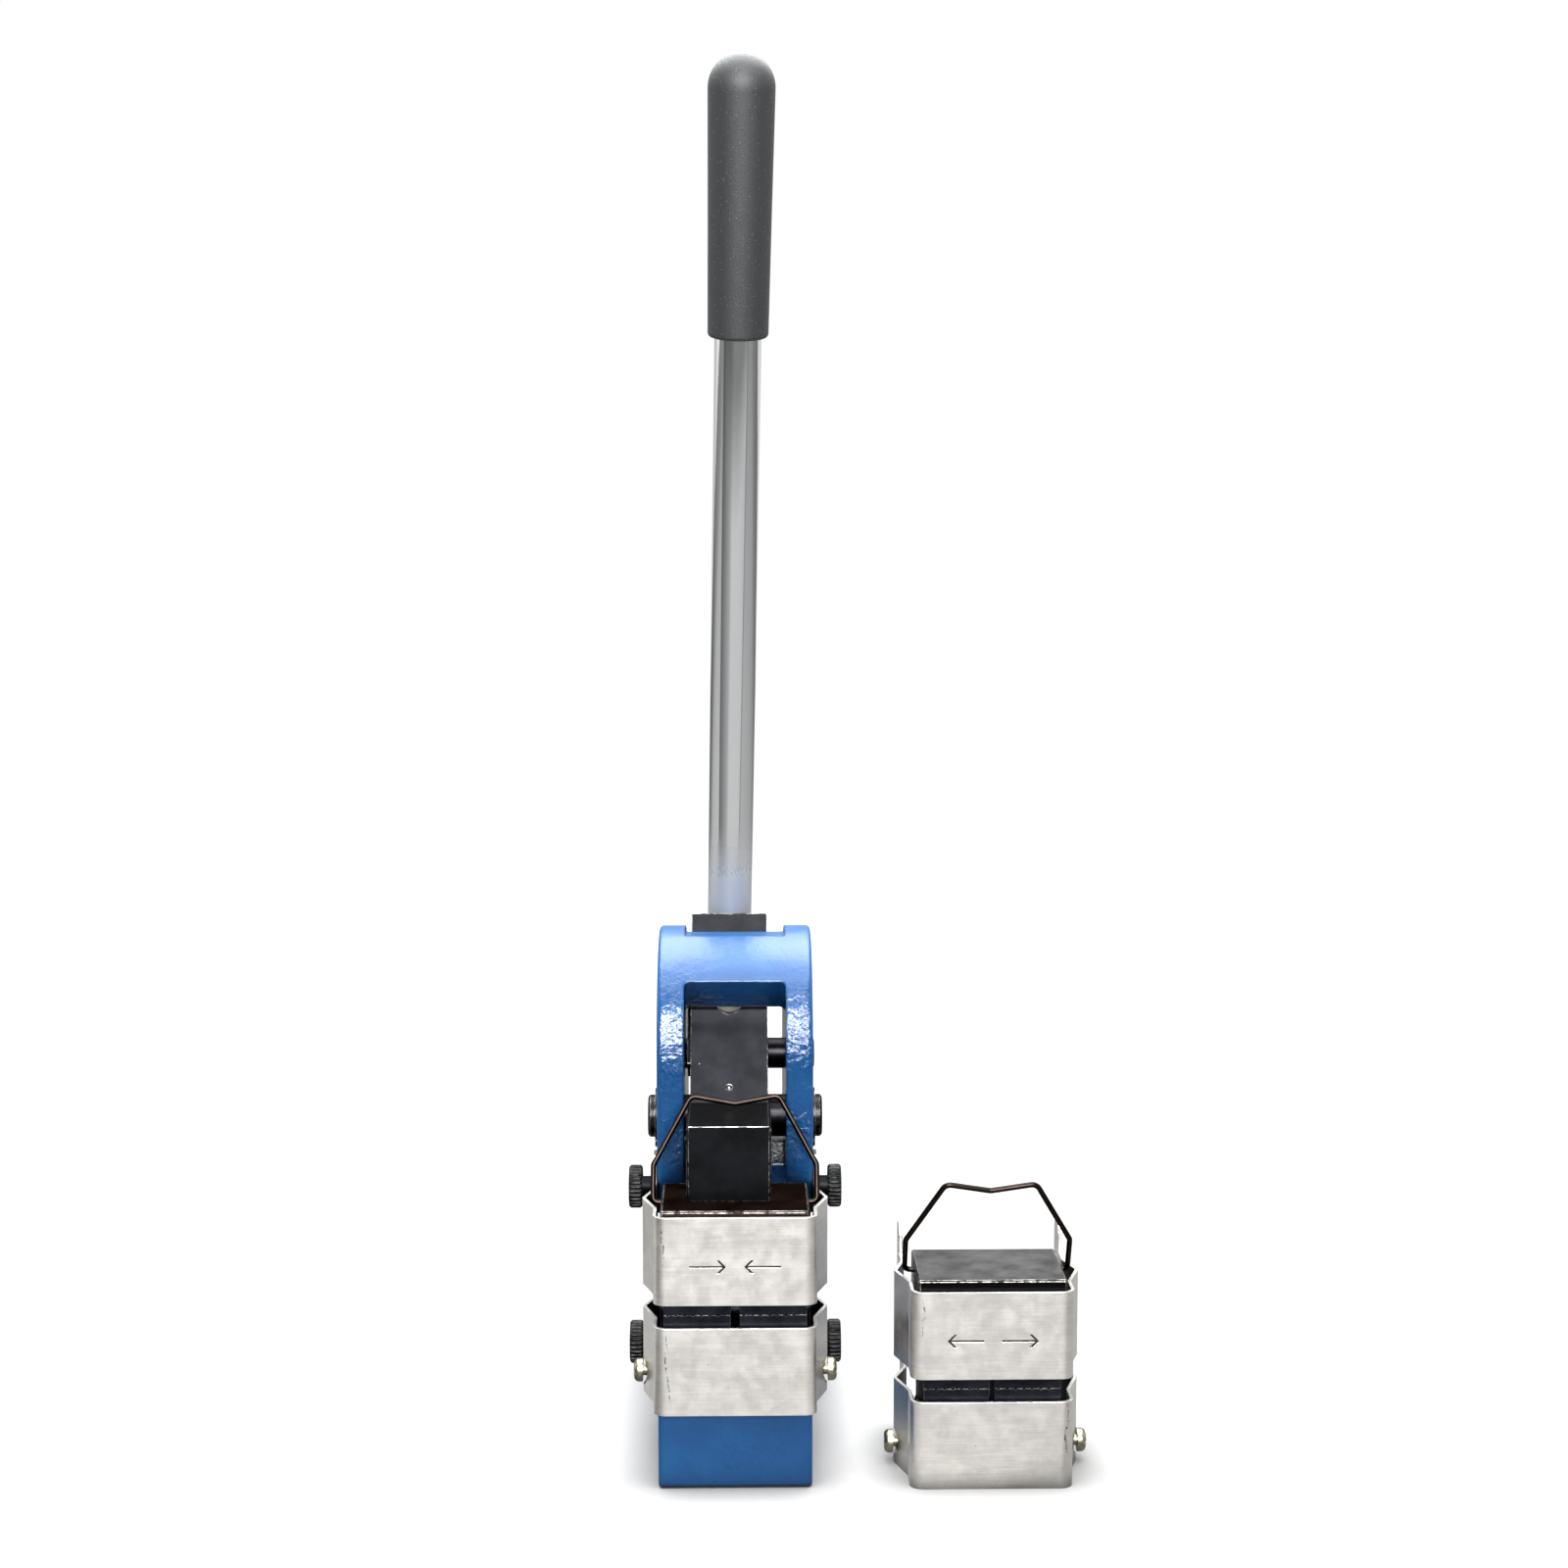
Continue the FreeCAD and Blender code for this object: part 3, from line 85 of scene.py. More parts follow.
def newMaterial(name, **shaderInputs):
    material = bpy.data.materials.new(name)
    material.use_nodes = True
    tree = material.node_tree
    tree.nodes.clear()
    place = addNode(tree, "TexCoord").outputs["Object"]
    shader = addNode(tree, "BsdfPrincipled", {key.replace("_", " "): v for key, v in shaderInputs.items()})
    addNode(tree, "OutputMaterial", {"Surface": shader.outputs[0]})
    return material, tree, place, shader


def feed(tree, shader, **sources):
    for key, source in sources.items():
        tree.links.new(source, shader.inputs[key.replace("_", " ")])


def edgeWear(tree, place, radius, patchSize, start, end):
    # Bright where an edge is sharp, broken up by a patchy noise
    rounded = addNode(tree, "Bevel", {"Radius": radius * millimetre}, samples=6)
    flat = addNode(tree, "NewGeometry")
    match = addNode(tree, "VectorMath", {0: rounded.outputs[0], 1: flat.outputs["Normal"]},
                    operation="DOT_PRODUCT")
    patches = addNode(tree, "TexNoise", {"Vector": place, "Scale": perFeature(patchSize), "Detail": 6,
                                         "Roughness": 0.7})
    sharp = addNode(tree, "MapRange", {"Value": match.outputs["Value"], "From Min": start, "From Max": end})
    broken = addNode(tree, "MapRange", {"Value": patches.outputs[0], "From Min": 0.42, "From Max": 0.58})
    both = addNode(tree, "Math", {0: sharp.outputs[0], 1: broken.outputs[0]}, operation="MULTIPLY")
    return both.outputs[0]


# A dot fades out between these two multiples of its radius
dotEdge = {"outer": 1.7, "inner": 1.1}


def specks(tree, place, spacing, radius, share):
    # Scattered dots of about one radius in millimetres, kept only at a share of the cells
    cells = addNode(tree, "TexVoronoi", {"Vector": place, "Scale": perFeature(spacing)})
    chance = addNode(tree, "SeparateColor", {0: cells.outputs["Color"]})
    rare = addNode(tree, "Math", {0: chance.outputs[0], 1: share}, operation="LESS_THAN")
    rough = addNode(tree, "TexNoise", {"Vector": place, "Scale": perFeature(radius), "Detail": 2})
    edge = addNode(tree, "Math", {0: rough.outputs[0], 1: radius / spacing, 2: cells.outputs["Distance"]},
                   operation="MULTIPLY_ADD")
    dot = addNode(tree, "MapRange", {"Value": edge.outputs[0],
                                     "From Min": dotEdge["outer"] * radius / spacing,
                                     "From Max": dotEdge["inner"] * radius / spacing})
    return addNode(tree, "Math", {0: rare.outputs[0], 1: dot.outputs[0]}, operation="MULTIPLY").outputs[0]


def mixColour(tree, share, first, second, blend="MIX"):
    values = [linear(c) if isinstance(c, str) else c for c in (first, second)]
    node = addNode(tree, "Mix", {0: share, 6: values[0], 7: values[1]}, data_type="RGBA", blend_type=blend)
    return node.outputs[2]


def shifted(tree, place, *offset):
    return addNode(tree, "Mapping", {"Vector": place, "Location": offset}).outputs[0]


def dress(material, *names):
    for name in names:
        for holder in nodes[name].material_slots:
            holder.material = material


# Enamel brushed on grey iron: glossy, with orange peel over the lumps of the sand casting
enamel = {"lit": "#1B6CB3", "deep": "#135DA2", "cloud": 28, "peel": 1.6, "peelHeight": 0.07,
          "lump": 2.5, "lumpHeight": 0.8, "calm": 22, "wave": 11, "waveHeight": 0.35,
          "chipSpacing": 3.5, "chipRadius": 0.22, "chipShare": 0.03, "darkChip": "#0C2647",
          "paleChip": "#C4D8EE", "paleShift": (0.013, 0.007, 0.021), "paleShare": 0.6, "edge": 1.5,
          "cuts": (53, 88), "cutReach": 2.2, "throatEnd": 3, "footTop": 13, "columnBack": 65,
          "asCast": (133, 45), "dressed": 0.3, "gloss": 0.17, "dull": 0.34,
          # Painted shade: how far ambient occlusion looks, and the dark colour it paints into the enamel
          "occlusionShade": 22, "paintedShade": "#06101F"}


# The share of a band's half width that is fully inside it
bandCore = 0.75


def between(tree, value, middle, half):
    # One inside a band, falling off to nothing outside its core, all in millimetres
    away = addNode(tree, "Math", {0: value, 1: middle * millimetre}, operation="SUBTRACT")
    away = addNode(tree, "Math", {0: away.outputs[0]}, operation="ABSOLUTE")
    band = addNode(tree, "MapRange", {"Value": away.outputs[0], "From Min": half * millimetre,
                                      "From Max": bandCore * half * millimetre})
    return band.outputs[0]


def seamless(tree, place, rounded):
    # The casting is one piece of iron, so no edge is rounded where its four solids meet
    parts = addNode(tree, "SeparateXYZ", {0: place})
    levels = addNode(tree, "Math", {
        0: between(tree, parts.outputs[2], enamel["cuts"][0], enamel["cutReach"]),
        1: between(tree, parts.outputs[2], enamel["cuts"][1], enamel["cutReach"])}, operation="MAXIMUM")
    behind = addNode(tree, "Math", {0: parts.outputs[1], 1: enamel["throatEnd"] * millimetre},
                     operation="GREATER_THAN")
    across = addNode(tree, "Math", {0: levels.outputs[0], 1: behind.outputs[0]}, operation="MULTIPLY")
    low = addNode(tree, "Math", {0: parts.outputs[2], 1: enamel["footTop"] * millimetre},
                  operation="LESS_THAN")
    seam = between(tree, parts.outputs[1], enamel["columnBack"], enamel["cutReach"])
    back = addNode(tree, "Math", {0: seam, 1: low.outputs[0]}, operation="MULTIPLY")
    share = addNode(tree, "Math", {0: across.outputs[0], 1: back.outputs[0]}, operation="MAXIMUM")
    flat = addNode(tree, "NewGeometry").outputs["Normal"]
    normal = addNode(tree, "Mix", {"Factor": share.outputs[0], 4: rounded, 5: flat}, data_type="VECTOR")
    return normal.outputs[1]


def enamelOnIron():
    material, tree, place, shader = newMaterial("enamelOnIron", IOR=1.5, Specular_IOR_Level=0.38)
    clouds = addNode(tree, "TexNoise", {"Vector": place, "Scale": perFeature(enamel["cloud"]), "Detail": 6,
                                        "Roughness": 0.6})
    blotch = addNode(tree, "MapRange", {"Value": clouds.outputs[0], "From Min": 0.35, "From Max": 0.65})
    paint = mixColour(tree, blotch.outputs[0], enamel["lit"], enamel["deep"])
    dark = specks(tree, place, enamel["chipSpacing"], enamel["chipRadius"], enamel["chipShare"])
    pale = specks(tree, shifted(tree, place, *enamel["paleShift"]), enamel["chipSpacing"],
                  enamel["chipRadius"], enamel["chipShare"] * enamel["paleShare"])
    paint = mixColour(tree, dark, paint, enamel["darkChip"])
    paint = mixColour(tree, pale, paint, enamel["paleChip"])
    # Painted shade: ambient occlusion darkens the enamel wherever a neighbour stands close
    occlusionShade = addNode(tree, "AmbientOcclusion", {"Distance": enamel["occlusionShade"] * millimetre}, samples=6)
    shadeShare = addNode(tree, "MapRange", {"Value": occlusionShade.outputs["AO"], "From Min": 0.65, "From Max": 0.3})
    paint = mixColour(tree, shadeShare.outputs[0], paint, enamel["paintedShade"])
    lumps = addNode(tree, "TexNoise", {"Vector": place, "Scale": perFeature(enamel["lump"]), "Detail": 3,
                                       "Roughness": 0.55})
    waves = addNode(tree, "TexNoise", {"Vector": place, "Scale": perFeature(enamel["wave"]), "Detail": 1})
    # The iron is lumpy in some places and nearly smooth in others
    places = addNode(tree, "TexNoise", {"Vector": place, "Scale": perFeature(enamel["calm"]), "Detail": 1})
    rough = addNode(tree, "MapRange", {"Value": places.outputs[0], "From Min": 0.4, "From Max": 0.62,
                                       "To Min": 0.35, "To Max": 1})
    # The crown and the base were dressed smooth, and the cheeks between them were left as cast
    height = addNode(tree, "SeparateXYZ", {0: place})
    cheeks = between(tree, height.outputs[2], *enamel["asCast"])
    dressed = addNode(tree, "MapRange", {"Value": cheeks, "To Min": enamel["dressed"], "To Max": 1})
    rough = addNode(tree, "Math", {0: rough.outputs[0], 1: dressed.outputs[0]}, operation="MULTIPLY")
    peel = addNode(tree, "TexNoise", {"Vector": place, "Scale": perFeature(enamel["peel"]), "Detail": 2})
    soft = addNode(tree, "Bevel", {"Radius": enamel["edge"] * millimetre}, samples=8)
    swell = addNode(tree, "Bump", {"Height": waves.outputs[0], "Distance": enamel["waveHeight"] * millimetre,
                                   "Normal": seamless(tree, place, soft.outputs[0])})
    cast = addNode(tree, "Bump", {"Strength": rough.outputs[0], "Height": lumps.outputs[0],
                                  "Distance": enamel["lumpHeight"] * millimetre, "Normal": swell.outputs[0]})
    skin = addNode(tree, "Bump", {"Height": peel.outputs[0], "Distance": enamel["peelHeight"] * millimetre,
                                  "Normal": cast.outputs[0]})
    sheen = addNode(tree, "MapRange", {"Value": cheeks, "To Min": enamel["dull"], "To Max": enamel["gloss"]})
    feed(tree, shader, Base_Color=paint, Roughness=sheen.outputs[0], Normal=skin.outputs[0])
    return material


# Black oxide on machined steel: satin, near black, rubbed to bright steel along its edges.
# The oxide film takes the shine out of steep glances, which the darker specular tint gives.
oxide = {"dark": "#1A1B1D", "light": "#222326", "worn": "#C9C6C1", "mottle": 9, "grain": 0.6,
         "grainHeight": 0.02, "edge": 0.35, "wearRadius": 0.5, "wearPatch": 2.2, "sharp": (0.992, 0.95),
         "nickSpacing": 4.5, "nickRadius": 0.16, "nickShare": 0.05, "glossier": 0.03, "duller": 0.04,
         "levelFace": 0.9}

# The lock bore, cut into the lever after the oxide, is bright bare steel inside; the bright disc at the punch
# dimple is a painted highlight.
# Each has the middle in millimetres, the tilt of the axis in degrees and the radius in millimetres
bareBoreAndGlint = {"lockBore": ((-2.2, 2.92, 164.56), 8, 5.9), "dimpleGlint": ((-2.2, -20.16, 133.93), -37, 0.65)}
cutEgg = {"length": 2.6, "soft": 0.05}


def bareBoreAndGlintMask(tree, place):
    # One inside a long egg round each bore, whose axis lies along Y but for its tilt
    soft = cutEgg["soft"]
    total = None
    for middle, tilt, radius in bareBoreAndGlint.values():
        local = addNode(tree, "Mapping", {
            "Vector": place, "Location": [value * millimetre for value in middle],
            "Rotation": (math.radians(tilt), 0, 0), "Scale": (1, cutEgg["length"], 1)},
                        vector_type="TEXTURE")
        away = addNode(tree, "VectorMath", {0: local.outputs[0]}, operation="LENGTH")
        inside = addNode(tree, "MapRange", {
            "Value": away.outputs["Value"], "From Min": (radius + soft) * millimetre,
            "From Max": (radius - soft) * millimetre}).outputs[0]
        total = inside if total is None else addNode(tree, "Math", {0: total, 1: inside},
                                                     operation="MAXIMUM").outputs[0]
    return total


def blackOxide(name, dark, light, wear, roughness, tint, cuts=False, shadedFlanks=None):
    material, tree, place, shader = newMaterial(name, Metallic=1, Specular_Tint=linear(tint))
    mottle = addNode(tree, "TexNoise", {"Vector": place, "Scale": perFeature(oxide["mottle"]), "Detail": 6,
                                        "Roughness": 0.6})
    tone = addNode(tree, "MapRange", {"Value": mottle.outputs[0], "From Min": 0.35, "From Max": 0.65})
    colour = mixColour(tree, tone.outputs[0], dark, light)
    if shadedFlanks:
        # Faces that aren't level get a near-black colour as painted shade; the level faces keep the mottled
        # oxide
        facing = addNode(tree, "SeparateXYZ", {0: addNode(tree, "NewGeometry").outputs["Normal"]})
        level = addNode(tree, "Math", {0: facing.outputs[2], 1: oxide["levelFace"]},
                        operation="GREATER_THAN")
        colour = mixColour(tree, level.outputs[0], shadedFlanks, colour)
    edges = edgeWear(tree, place, oxide["wearRadius"], oxide["wearPatch"], *oxide["sharp"])
    rubbed = addNode(tree, "Math", {0: edges, 1: wear}, operation="MULTIPLY")
    nicks = specks(tree, place, oxide["nickSpacing"], oxide["nickRadius"], oxide["nickShare"])
    worn = addNode(tree, "Math", {0: rubbed.outputs[0], 1: nicks}, operation="MAXIMUM")
    colour = mixColour(tree, worn.outputs[0], colour, oxide["worn"])
    # Bare steel inside the lock bore, and a painted highlight at the dimple
    if cuts:
        colour = mixColour(tree, bareBoreAndGlintMask(tree, place), colour, oxide["worn"])
    grain = addNode(tree, "TexNoise", {"Vector": place, "Scale": perFeature(oxide["grain"]), "Detail": 2})
    gloss = addNode(tree, "MapRange", {"Value": mottle.outputs[0], "To Min": roughness - oxide["glossier"],
                                       "To Max": roughness + oxide["duller"]})
    soft = addNode(tree, "Bevel", {"Radius": oxide["edge"] * millimetre}, samples=6)
    bump = addNode(tree, "Bump", {"Height": grain.outputs[0], "Distance": oxide["grainHeight"] * millimetre,
                                  "Normal": soft.outputs[0]})
    feed(tree, shader, Base_Color=colour, Roughness=gloss.outputs[0], Normal=bump.outputs[0])
    return material


# Bright chrome plate on turned steel: a mirror with a few hairlines along the rod, dulled at its foot
chrome = {"plate": "#E6E7E8", "hairline": 0.5, "hairStretch": 0.02, "gloss": (0.05, 0.11),
          "dullFoot": (200, 228), "footRoughness": 0.3, "footLoss": -0.85}


def chromePlate():
    material, tree, place, shader = newMaterial("chromePlate", Base_Color=linear(chrome["plate"]))
    streaks = addNode(tree, "Mapping", {"Vector": place, "Scale": (1, 1, chrome["hairStretch"])})
    hair = addNode(tree, "TexNoise", {"Vector": streaks.outputs[0], "Scale": perFeature(chrome["hairline"]),
                                      "Detail": 4})
    dull = addNode(tree, "MapRange", {"Value": hair.outputs[0], "From Min": 0.4, "From Max": 0.7,
                                      "To Min": chrome["gloss"][0], "To Max": chrome["gloss"][1]})
    # Oil and handling have dulled the plating just above the lever
    height = addNode(tree, "SeparateXYZ", {0: place})
    low, high = (level * millimetre for level in chrome["dullFoot"])
    foot = addNode(tree, "MapRange", {"Value": height.outputs[2], "From Min": high, "From Max": low})
    rough = addNode(tree, "Math", {0: foot.outputs[0], 1: chrome["footRoughness"], 2: dull.outputs[0]},
                    operation="MULTIPLY_ADD")
    metal = addNode(tree, "Math", {0: foot.outputs[0], 1: chrome["footLoss"], 2: 1},
                    operation="MULTIPLY_ADD")
    feed(tree, shader, Roughness=rough.outputs[0], Metallic=metal.outputs[0])
    return material


# Moulded rubber: dull charcoal with a fine sparkle of grit
rubber = {"dark": "#222628", "light": "#303538", "grit": "#80858A", "cloud": 8, "gritSpacing": 1.1,
          "gritRadius": 0.2, "gritShare": 0.3, "skin": 0.5, "skinHeight": 0.12}


def mouldedRubber():
    material, tree, place, shader = newMaterial("mouldedRubber", Roughness=0.6, IOR=1.5)
    clouds = addNode(tree, "TexNoise", {"Vector": place, "Scale": perFeature(rubber["cloud"]), "Detail": 5})
    colour = mixColour(tree, clouds.outputs[0], rubber["dark"], rubber["light"])
    grit = specks(tree, place, rubber["gritSpacing"], rubber["gritRadius"], rubber["gritShare"])
    colour = mixColour(tree, grit, colour, rubber["grit"])
    skin = addNode(tree, "TexNoise", {"Vector": place, "Scale": perFeature(rubber["skin"]), "Detail": 3})
    bump = addNode(tree, "Bump", {"Height": skin.outputs[0], "Distance": rubber["skinHeight"] * millimetre})
    feed(tree, shader, Base_Color=colour, Normal=bump.outputs[0])
    return material


# Cold-rolled stainless strip: satin, with fine lines along the strip, smudges and handling marks
stainless = {"bright": "#E4E1DC", "dull": "#D8D5D0", "smudge": 6, "line": 0.4, "mark": "#6A6560",
             # The scratch colour also darkens the stamped arrows, and the last two give the reach and colour
             # of the darkening inside: both are painted shade
             "scratchAndStampShade": "#4A4744", "front": -74, "occlusionShade": 14, "paintedShade": "#1C1B1B",
             "stamps": ((0, 81.8), (91.5, 54.3)), "stampHalf": (18, 2.8), "stampDepth": 0.27,
             "dots": (5, 0.2, 0.12), "edge": 0.25, "lineHeight": 0.012,
             "wander": 9, "wanderReach": 5, "breaks": 1.3, "scratchHalf": 0.28,
             # Middle X and Z, half length and how far each scratch leans off upright
             "scratches": ((-25.6, 90, 9, 0.04), (-24.2, 45, 14, 0.09), (66.4, 62, 8, 0.06),
                           (118, 22, 10, -0.05))}


def scratched(tree, place, parts):
    # Long wandering scratches on the cages' fronts
    reach = stainless["wanderReach"]
    wobble = addNode(tree, "TexNoise", {"Vector": place, "Scale": perFeature(stainless["wander"]),
                                        "Detail": 3})
    breaks = addNode(tree, "TexNoise", {"Vector": place, "Scale": perFeature(stainless["breaks"]),
                                        "Detail": 5, "Roughness": 0.7})
    faint = addNode(tree, "MapRange", {"Value": breaks.outputs[0], "From Min": 0.45, "From Max": 0.6})
    total = None
    for x, z, half, lean in stainless["scratches"]:
        drift = addNode(tree, "Math", {0: wobble.outputs[0], 1: reach * millimetre, 2: parts.outputs[0]},
                        operation="MULTIPLY_ADD")
        slant = addNode(tree, "Math", {0: parts.outputs[2], 1: lean, 2: drift.outputs[0]},
                        operation="MULTIPLY_ADD")
        line = between(tree, slant.outputs[0], x + reach / 2 + z * lean, stainless["scratchHalf"])
        length = between(tree, parts.outputs[2], z, half)
        one = addNode(tree, "Math", {0: line, 1: length}, operation="MULTIPLY").outputs[0]
        total = one if total is None else addNode(tree, "Math", {0: total, 1: one},
                                                  operation="MAXIMUM").outputs[0]
    return addNode(tree, "Math", {0: total, 1: faint.outputs[0]}, operation="MULTIPLY").outputs[0]


def rolledStainless():
    material, tree, place, shader = newMaterial("rolledStainless", Metallic=1)
    along = addNode(tree, "Mapping", {"Vector": place, "Scale": (0.03, 0.03, 1)})
    lines = addNode(tree, "TexNoise", {"Vector": along.outputs[0], "Scale": perFeature(stainless["line"]),
                                       "Detail": 3})
    smudges = addNode(tree, "TexNoise", {"Vector": place, "Scale": perFeature(stainless["smudge"]),
                                         "Detail": 8, "Roughness": 0.68})
    tone = addNode(tree, "MapRange", {"Value": smudges.outputs[0], "From Min": 0.38, "From Max": 0.62})
    colour = mixColour(tree, tone.outputs[0], stainless["dull"], stainless["bright"])
    fine = addNode(tree, "MapRange", {"Value": lines.outputs[0], "From Min": 0.3, "From Max": 0.7,
                                      "To Min": 0.93, "To Max": 1.05})
    streaked = addNode(tree, "VectorMath", {0: colour, "Scale": fine.outputs[0]}, operation="SCALE")
    dots = specks(tree, place, *stainless["dots"])
    colour = mixColour(tree, dots, streaked.outputs[0], stainless["mark"])
    parts = addNode(tree, "SeparateXYZ", {0: place})
    colour = mixColour(tree, scratched(tree, place, parts), colour, stainless["scratchAndStampShade"])
    # Painted shade in the stamped arrows, just under the front face, in the colour of the scratches
    sunk = between(tree, parts.outputs[1], stainless["front"] + stainless["stampDepth"],
                   stainless["stampDepth"])
    for middle, height in stainless["stamps"]:
        level = between(tree, parts.outputs[2], height, stainless["stampHalf"][1])
        width = between(tree, parts.outputs[0], middle, stainless["stampHalf"][0] / bandCore)
        stamp = addNode(tree, "Math", {0: level, 1: width}, operation="MULTIPLY")
        paintedShade = addNode(tree, "Math", {0: sunk, 1: stamp.outputs[0]}, operation="MULTIPLY")
        colour = mixColour(tree, paintedShade.outputs[0], colour, stainless["scratchAndStampShade"])
    # Painted shade: ambient occlusion darkens the strip inside, where neighbouring surfaces stand close
    occlusionShade = addNode(tree, "AmbientOcclusion", {"Distance": stainless["occlusionShade"] * millimetre}, samples=6)
    shadeShare = addNode(tree, "MapRange", {"Value": occlusionShade.outputs["AO"], "From Min": 0.75, "From Max": 0.4})
    colour = mixColour(tree, shadeShare.outputs[0], colour, stainless["paintedShade"])
    gloss = addNode(tree, "MapRange", {"Value": smudges.outputs[0], "From Min": 0.3, "From Max": 0.7,
                                       "To Min": 0.3, "To Max": 0.38})
    soft = addNode(tree, "Bevel", {"Radius": stainless["edge"] * millimetre}, samples=6)
    bump = addNode(tree, "Bump", {"Height": lines.outputs[0],
                                  "Distance": stainless["lineHeight"] * millimetre,
                                  "Normal": soft.outputs[0]})
    feed(tree, shader, Base_Color=colour, Roughness=gloss.outputs[0], Normal=bump.outputs[0])
    return material


# Zinc plate with a yellow passivation: pale brass-green, slightly dull
zinc = {"deep": "#6A6855", "pale": "#A3A08A", "tint": 1.5, "edge": 0.2}


def yellowZinc():
    material, tree, place, shader = newMaterial("yellowZinc", Metallic=1, Roughness=0.3)
    tint = addNode(tree, "TexNoise", {"Vector": place, "Scale": perFeature(zinc["tint"]), "Detail": 4})
    colour = mixColour(tree, tint.outputs[0], zinc["deep"], zinc["pale"])
    soft = addNode(tree, "Bevel", {"Radius": zinc["edge"] * millimetre}, samples=6)
    feed(tree, shader, Base_Color=colour, Normal=soft.outputs[0])
    return material


# Oiled spring wire: brown-black with a long highlight
springSteel = {"dark": "#171311", "light": "#2C2522", "tint": 4, "glance": "#BBBBBB"}


def springWire():
    material, tree, place, shader = newMaterial("springWire", Metallic=1, Roughness=0.3,
                                                Specular_Tint=linear(springSteel["glance"]))
    tint = addNode(tree, "TexNoise", {"Vector": place, "Scale": perFeature(springSteel["tint"]), "Detail": 5})
    colour = mixColour(tree, tint.outputs[0], springSteel["dark"], springSteel["light"])
    feed(tree, shader, Base_Color=colour)
    return material


# Bright turned steel of the lock screw
turned = {"steel": "#C8C7C4", "ring": 0.6}


def turnedSteel():
    material, tree, place, shader = newMaterial("turnedSteel", Metallic=1, Base_Color=linear(turned["steel"]))
    rings = addNode(tree, "TexNoise", {"Vector": place, "Scale": perFeature(turned["ring"]), "Detail": 2})
    gloss = addNode(tree, "MapRange", {"Value": rings.outputs[0], "To Min": 0.16, "To Max": 0.32})
    feed(tree, shader, Roughness=gloss.outputs[0])
    return material


kinds = ("shrinker", "stretcher")
sides = ("left", "right")
levels = ("upper", "lower")
blackSteel = blackOxide("blackOxideSteel", oxide["dark"], oxide["light"], 1, 0.31, "#D2D2D2", True)
platedPin = blackOxide("blackOxidePins", "#161618", "#202022", 0.5, 0.3, "#C4C4C4")
knurledBlack = blackOxide("blackOxideKnobs", "#0E0F10", "#161718", 0.1, 0.42, "#6E6E6E")
brownBlock = blackOxide("brownOxideBlocks", "#120E0C", "#1E1815", 0.9, 0.44, "#8A8480")
# The sides of the grey blocks are painted near black as shade
greyBlock = blackOxide("greyOxideBlocks", "#232222", "#565656", 0.9, 0.34, "#FFFFFF", shadedFlanks="#0E0E0F")
hardenedDie = blackOxide("hardenedDie", "#16171B", "#24262C", 0.15, 0.4, "#C0C0C0")
dress(enamelOnIron(), *[name for name in nodes if name.startswith("casting_")])
dress(blackSteel, "lever_arm")
dress(platedPin, "pivot_pin", "pivot_circlip_left", "pivot_circlip_right", "stop_pin")
dress(chromePlate(), "handle_rod")
dress(mouldedRubber(), "handle_grip")
dress(turnedSteel(), "rod_lock_screw")
dress(rolledStainless(), *[f"{kind}_{level}_cage" for kind in kinds for level in levels])
dress(brownBlock, *[f"shrinker_{level}_wedge_block" for level in levels])
dress(greyBlock, *[f"stretcher_{level}_wedge_block" for level in levels])
dress(hardenedDie, *[f"{kind}_{level}_die_{side}" for kind in kinds for level in levels for side in sides])
dress(yellowZinc(), *[f"{kind}_cage_screw_{side}" for kind in kinds for side in sides])
wireSteel = springWire()
dress(wireSteel, *[f"{kind}_bail" for kind in kinds])
dress(wireSteel, *[f"{kind}_{level}_return_spring" for kind in kinds for level in levels])
dress(knurledBlack, *[f"thumb_screw_{level}_{side}" for level in levels for side in sides])
print("materials done")


# Return springs: coils of round wire in place of the plain sleeves

coil = {"wire": 0.8, "outer": 4.5, "pitch": 1.9, "ringSides": 10, "turnSteps": 20, "wallLength": 9.45,
        "travel": 1.41}


def coilSpring(name, lowX, highX, centre, kind, level):
    # A ring of the wire's section, wound along X
    turns = round((highX - lowX) / (coil["pitch"] * millimetre))
    steps = turns * coil["turnSteps"]
    wire = coil["wire"] * millimetre
    shape = bmesh.new()
    bmesh.ops.create_circle(shape, radius=wire / 2, segments=coil["ringSides"])
    bmesh.ops.translate(shape, verts=shape.verts, vec=(wire / 2, (coil["outer"] * millimetre - wire) / 2, 0))
    bmesh.ops.spin(shape, geom=shape.edges[:], cent=(0, 0, 0), axis=(1, 0, 0), angle=2 * math.pi * turns,
                   dvec=((highX - lowX - wire) / steps, 0, 0), steps=steps)
    bmesh.ops.holes_fill(shape, edges=shape.edges[:])
    bmesh.ops.recalc_face_normals(shape, faces=shape.faces[:])
    bmesh.ops.translate(shape, verts=shape.verts, vec=(lowX, centre.y, centre.z))
    for face in shape.faces:
        face.smooth = len(face.verts) == 4
    mesh = bpy.data.meshes.new(name)
    shape.to_mesh(mesh)
    shape.free()
    mesh.materials.append(wireSteel)
    spring = bpy.data.objects.new(name, mesh)
    bpy.context.scene.collection.objects.link(spring)
    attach(spring, f"{kind}_upper_jaw" if level == "upper" else "frame")
    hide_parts(f"{kind}_{level}_return_spring")
    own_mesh(spring)


for kind in kinds:
    for level in levels:
        low, high = (Vector(corner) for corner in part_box(f"{kind}_{level}_return_spring"))
        centre = (low + high) / 2
        if kind == "shrinker":
            # One spring between the dies, pressed from both ends
            coilSpring(f"{kind}_{level}_coil", low.x, high.x, centre,
                       kind, level)
        else:
            reach = coil["wallLength"] * millimetre
            coilSpring(f"{kind}_{level}_coil_left", low.x, low.x + reach, centre,
                       kind, level)
            coilSpring(f"{kind}_{level}_coil_right", high.x - reach, high.x, centre,
                       kind, level)
print("springs wound")


# Studio

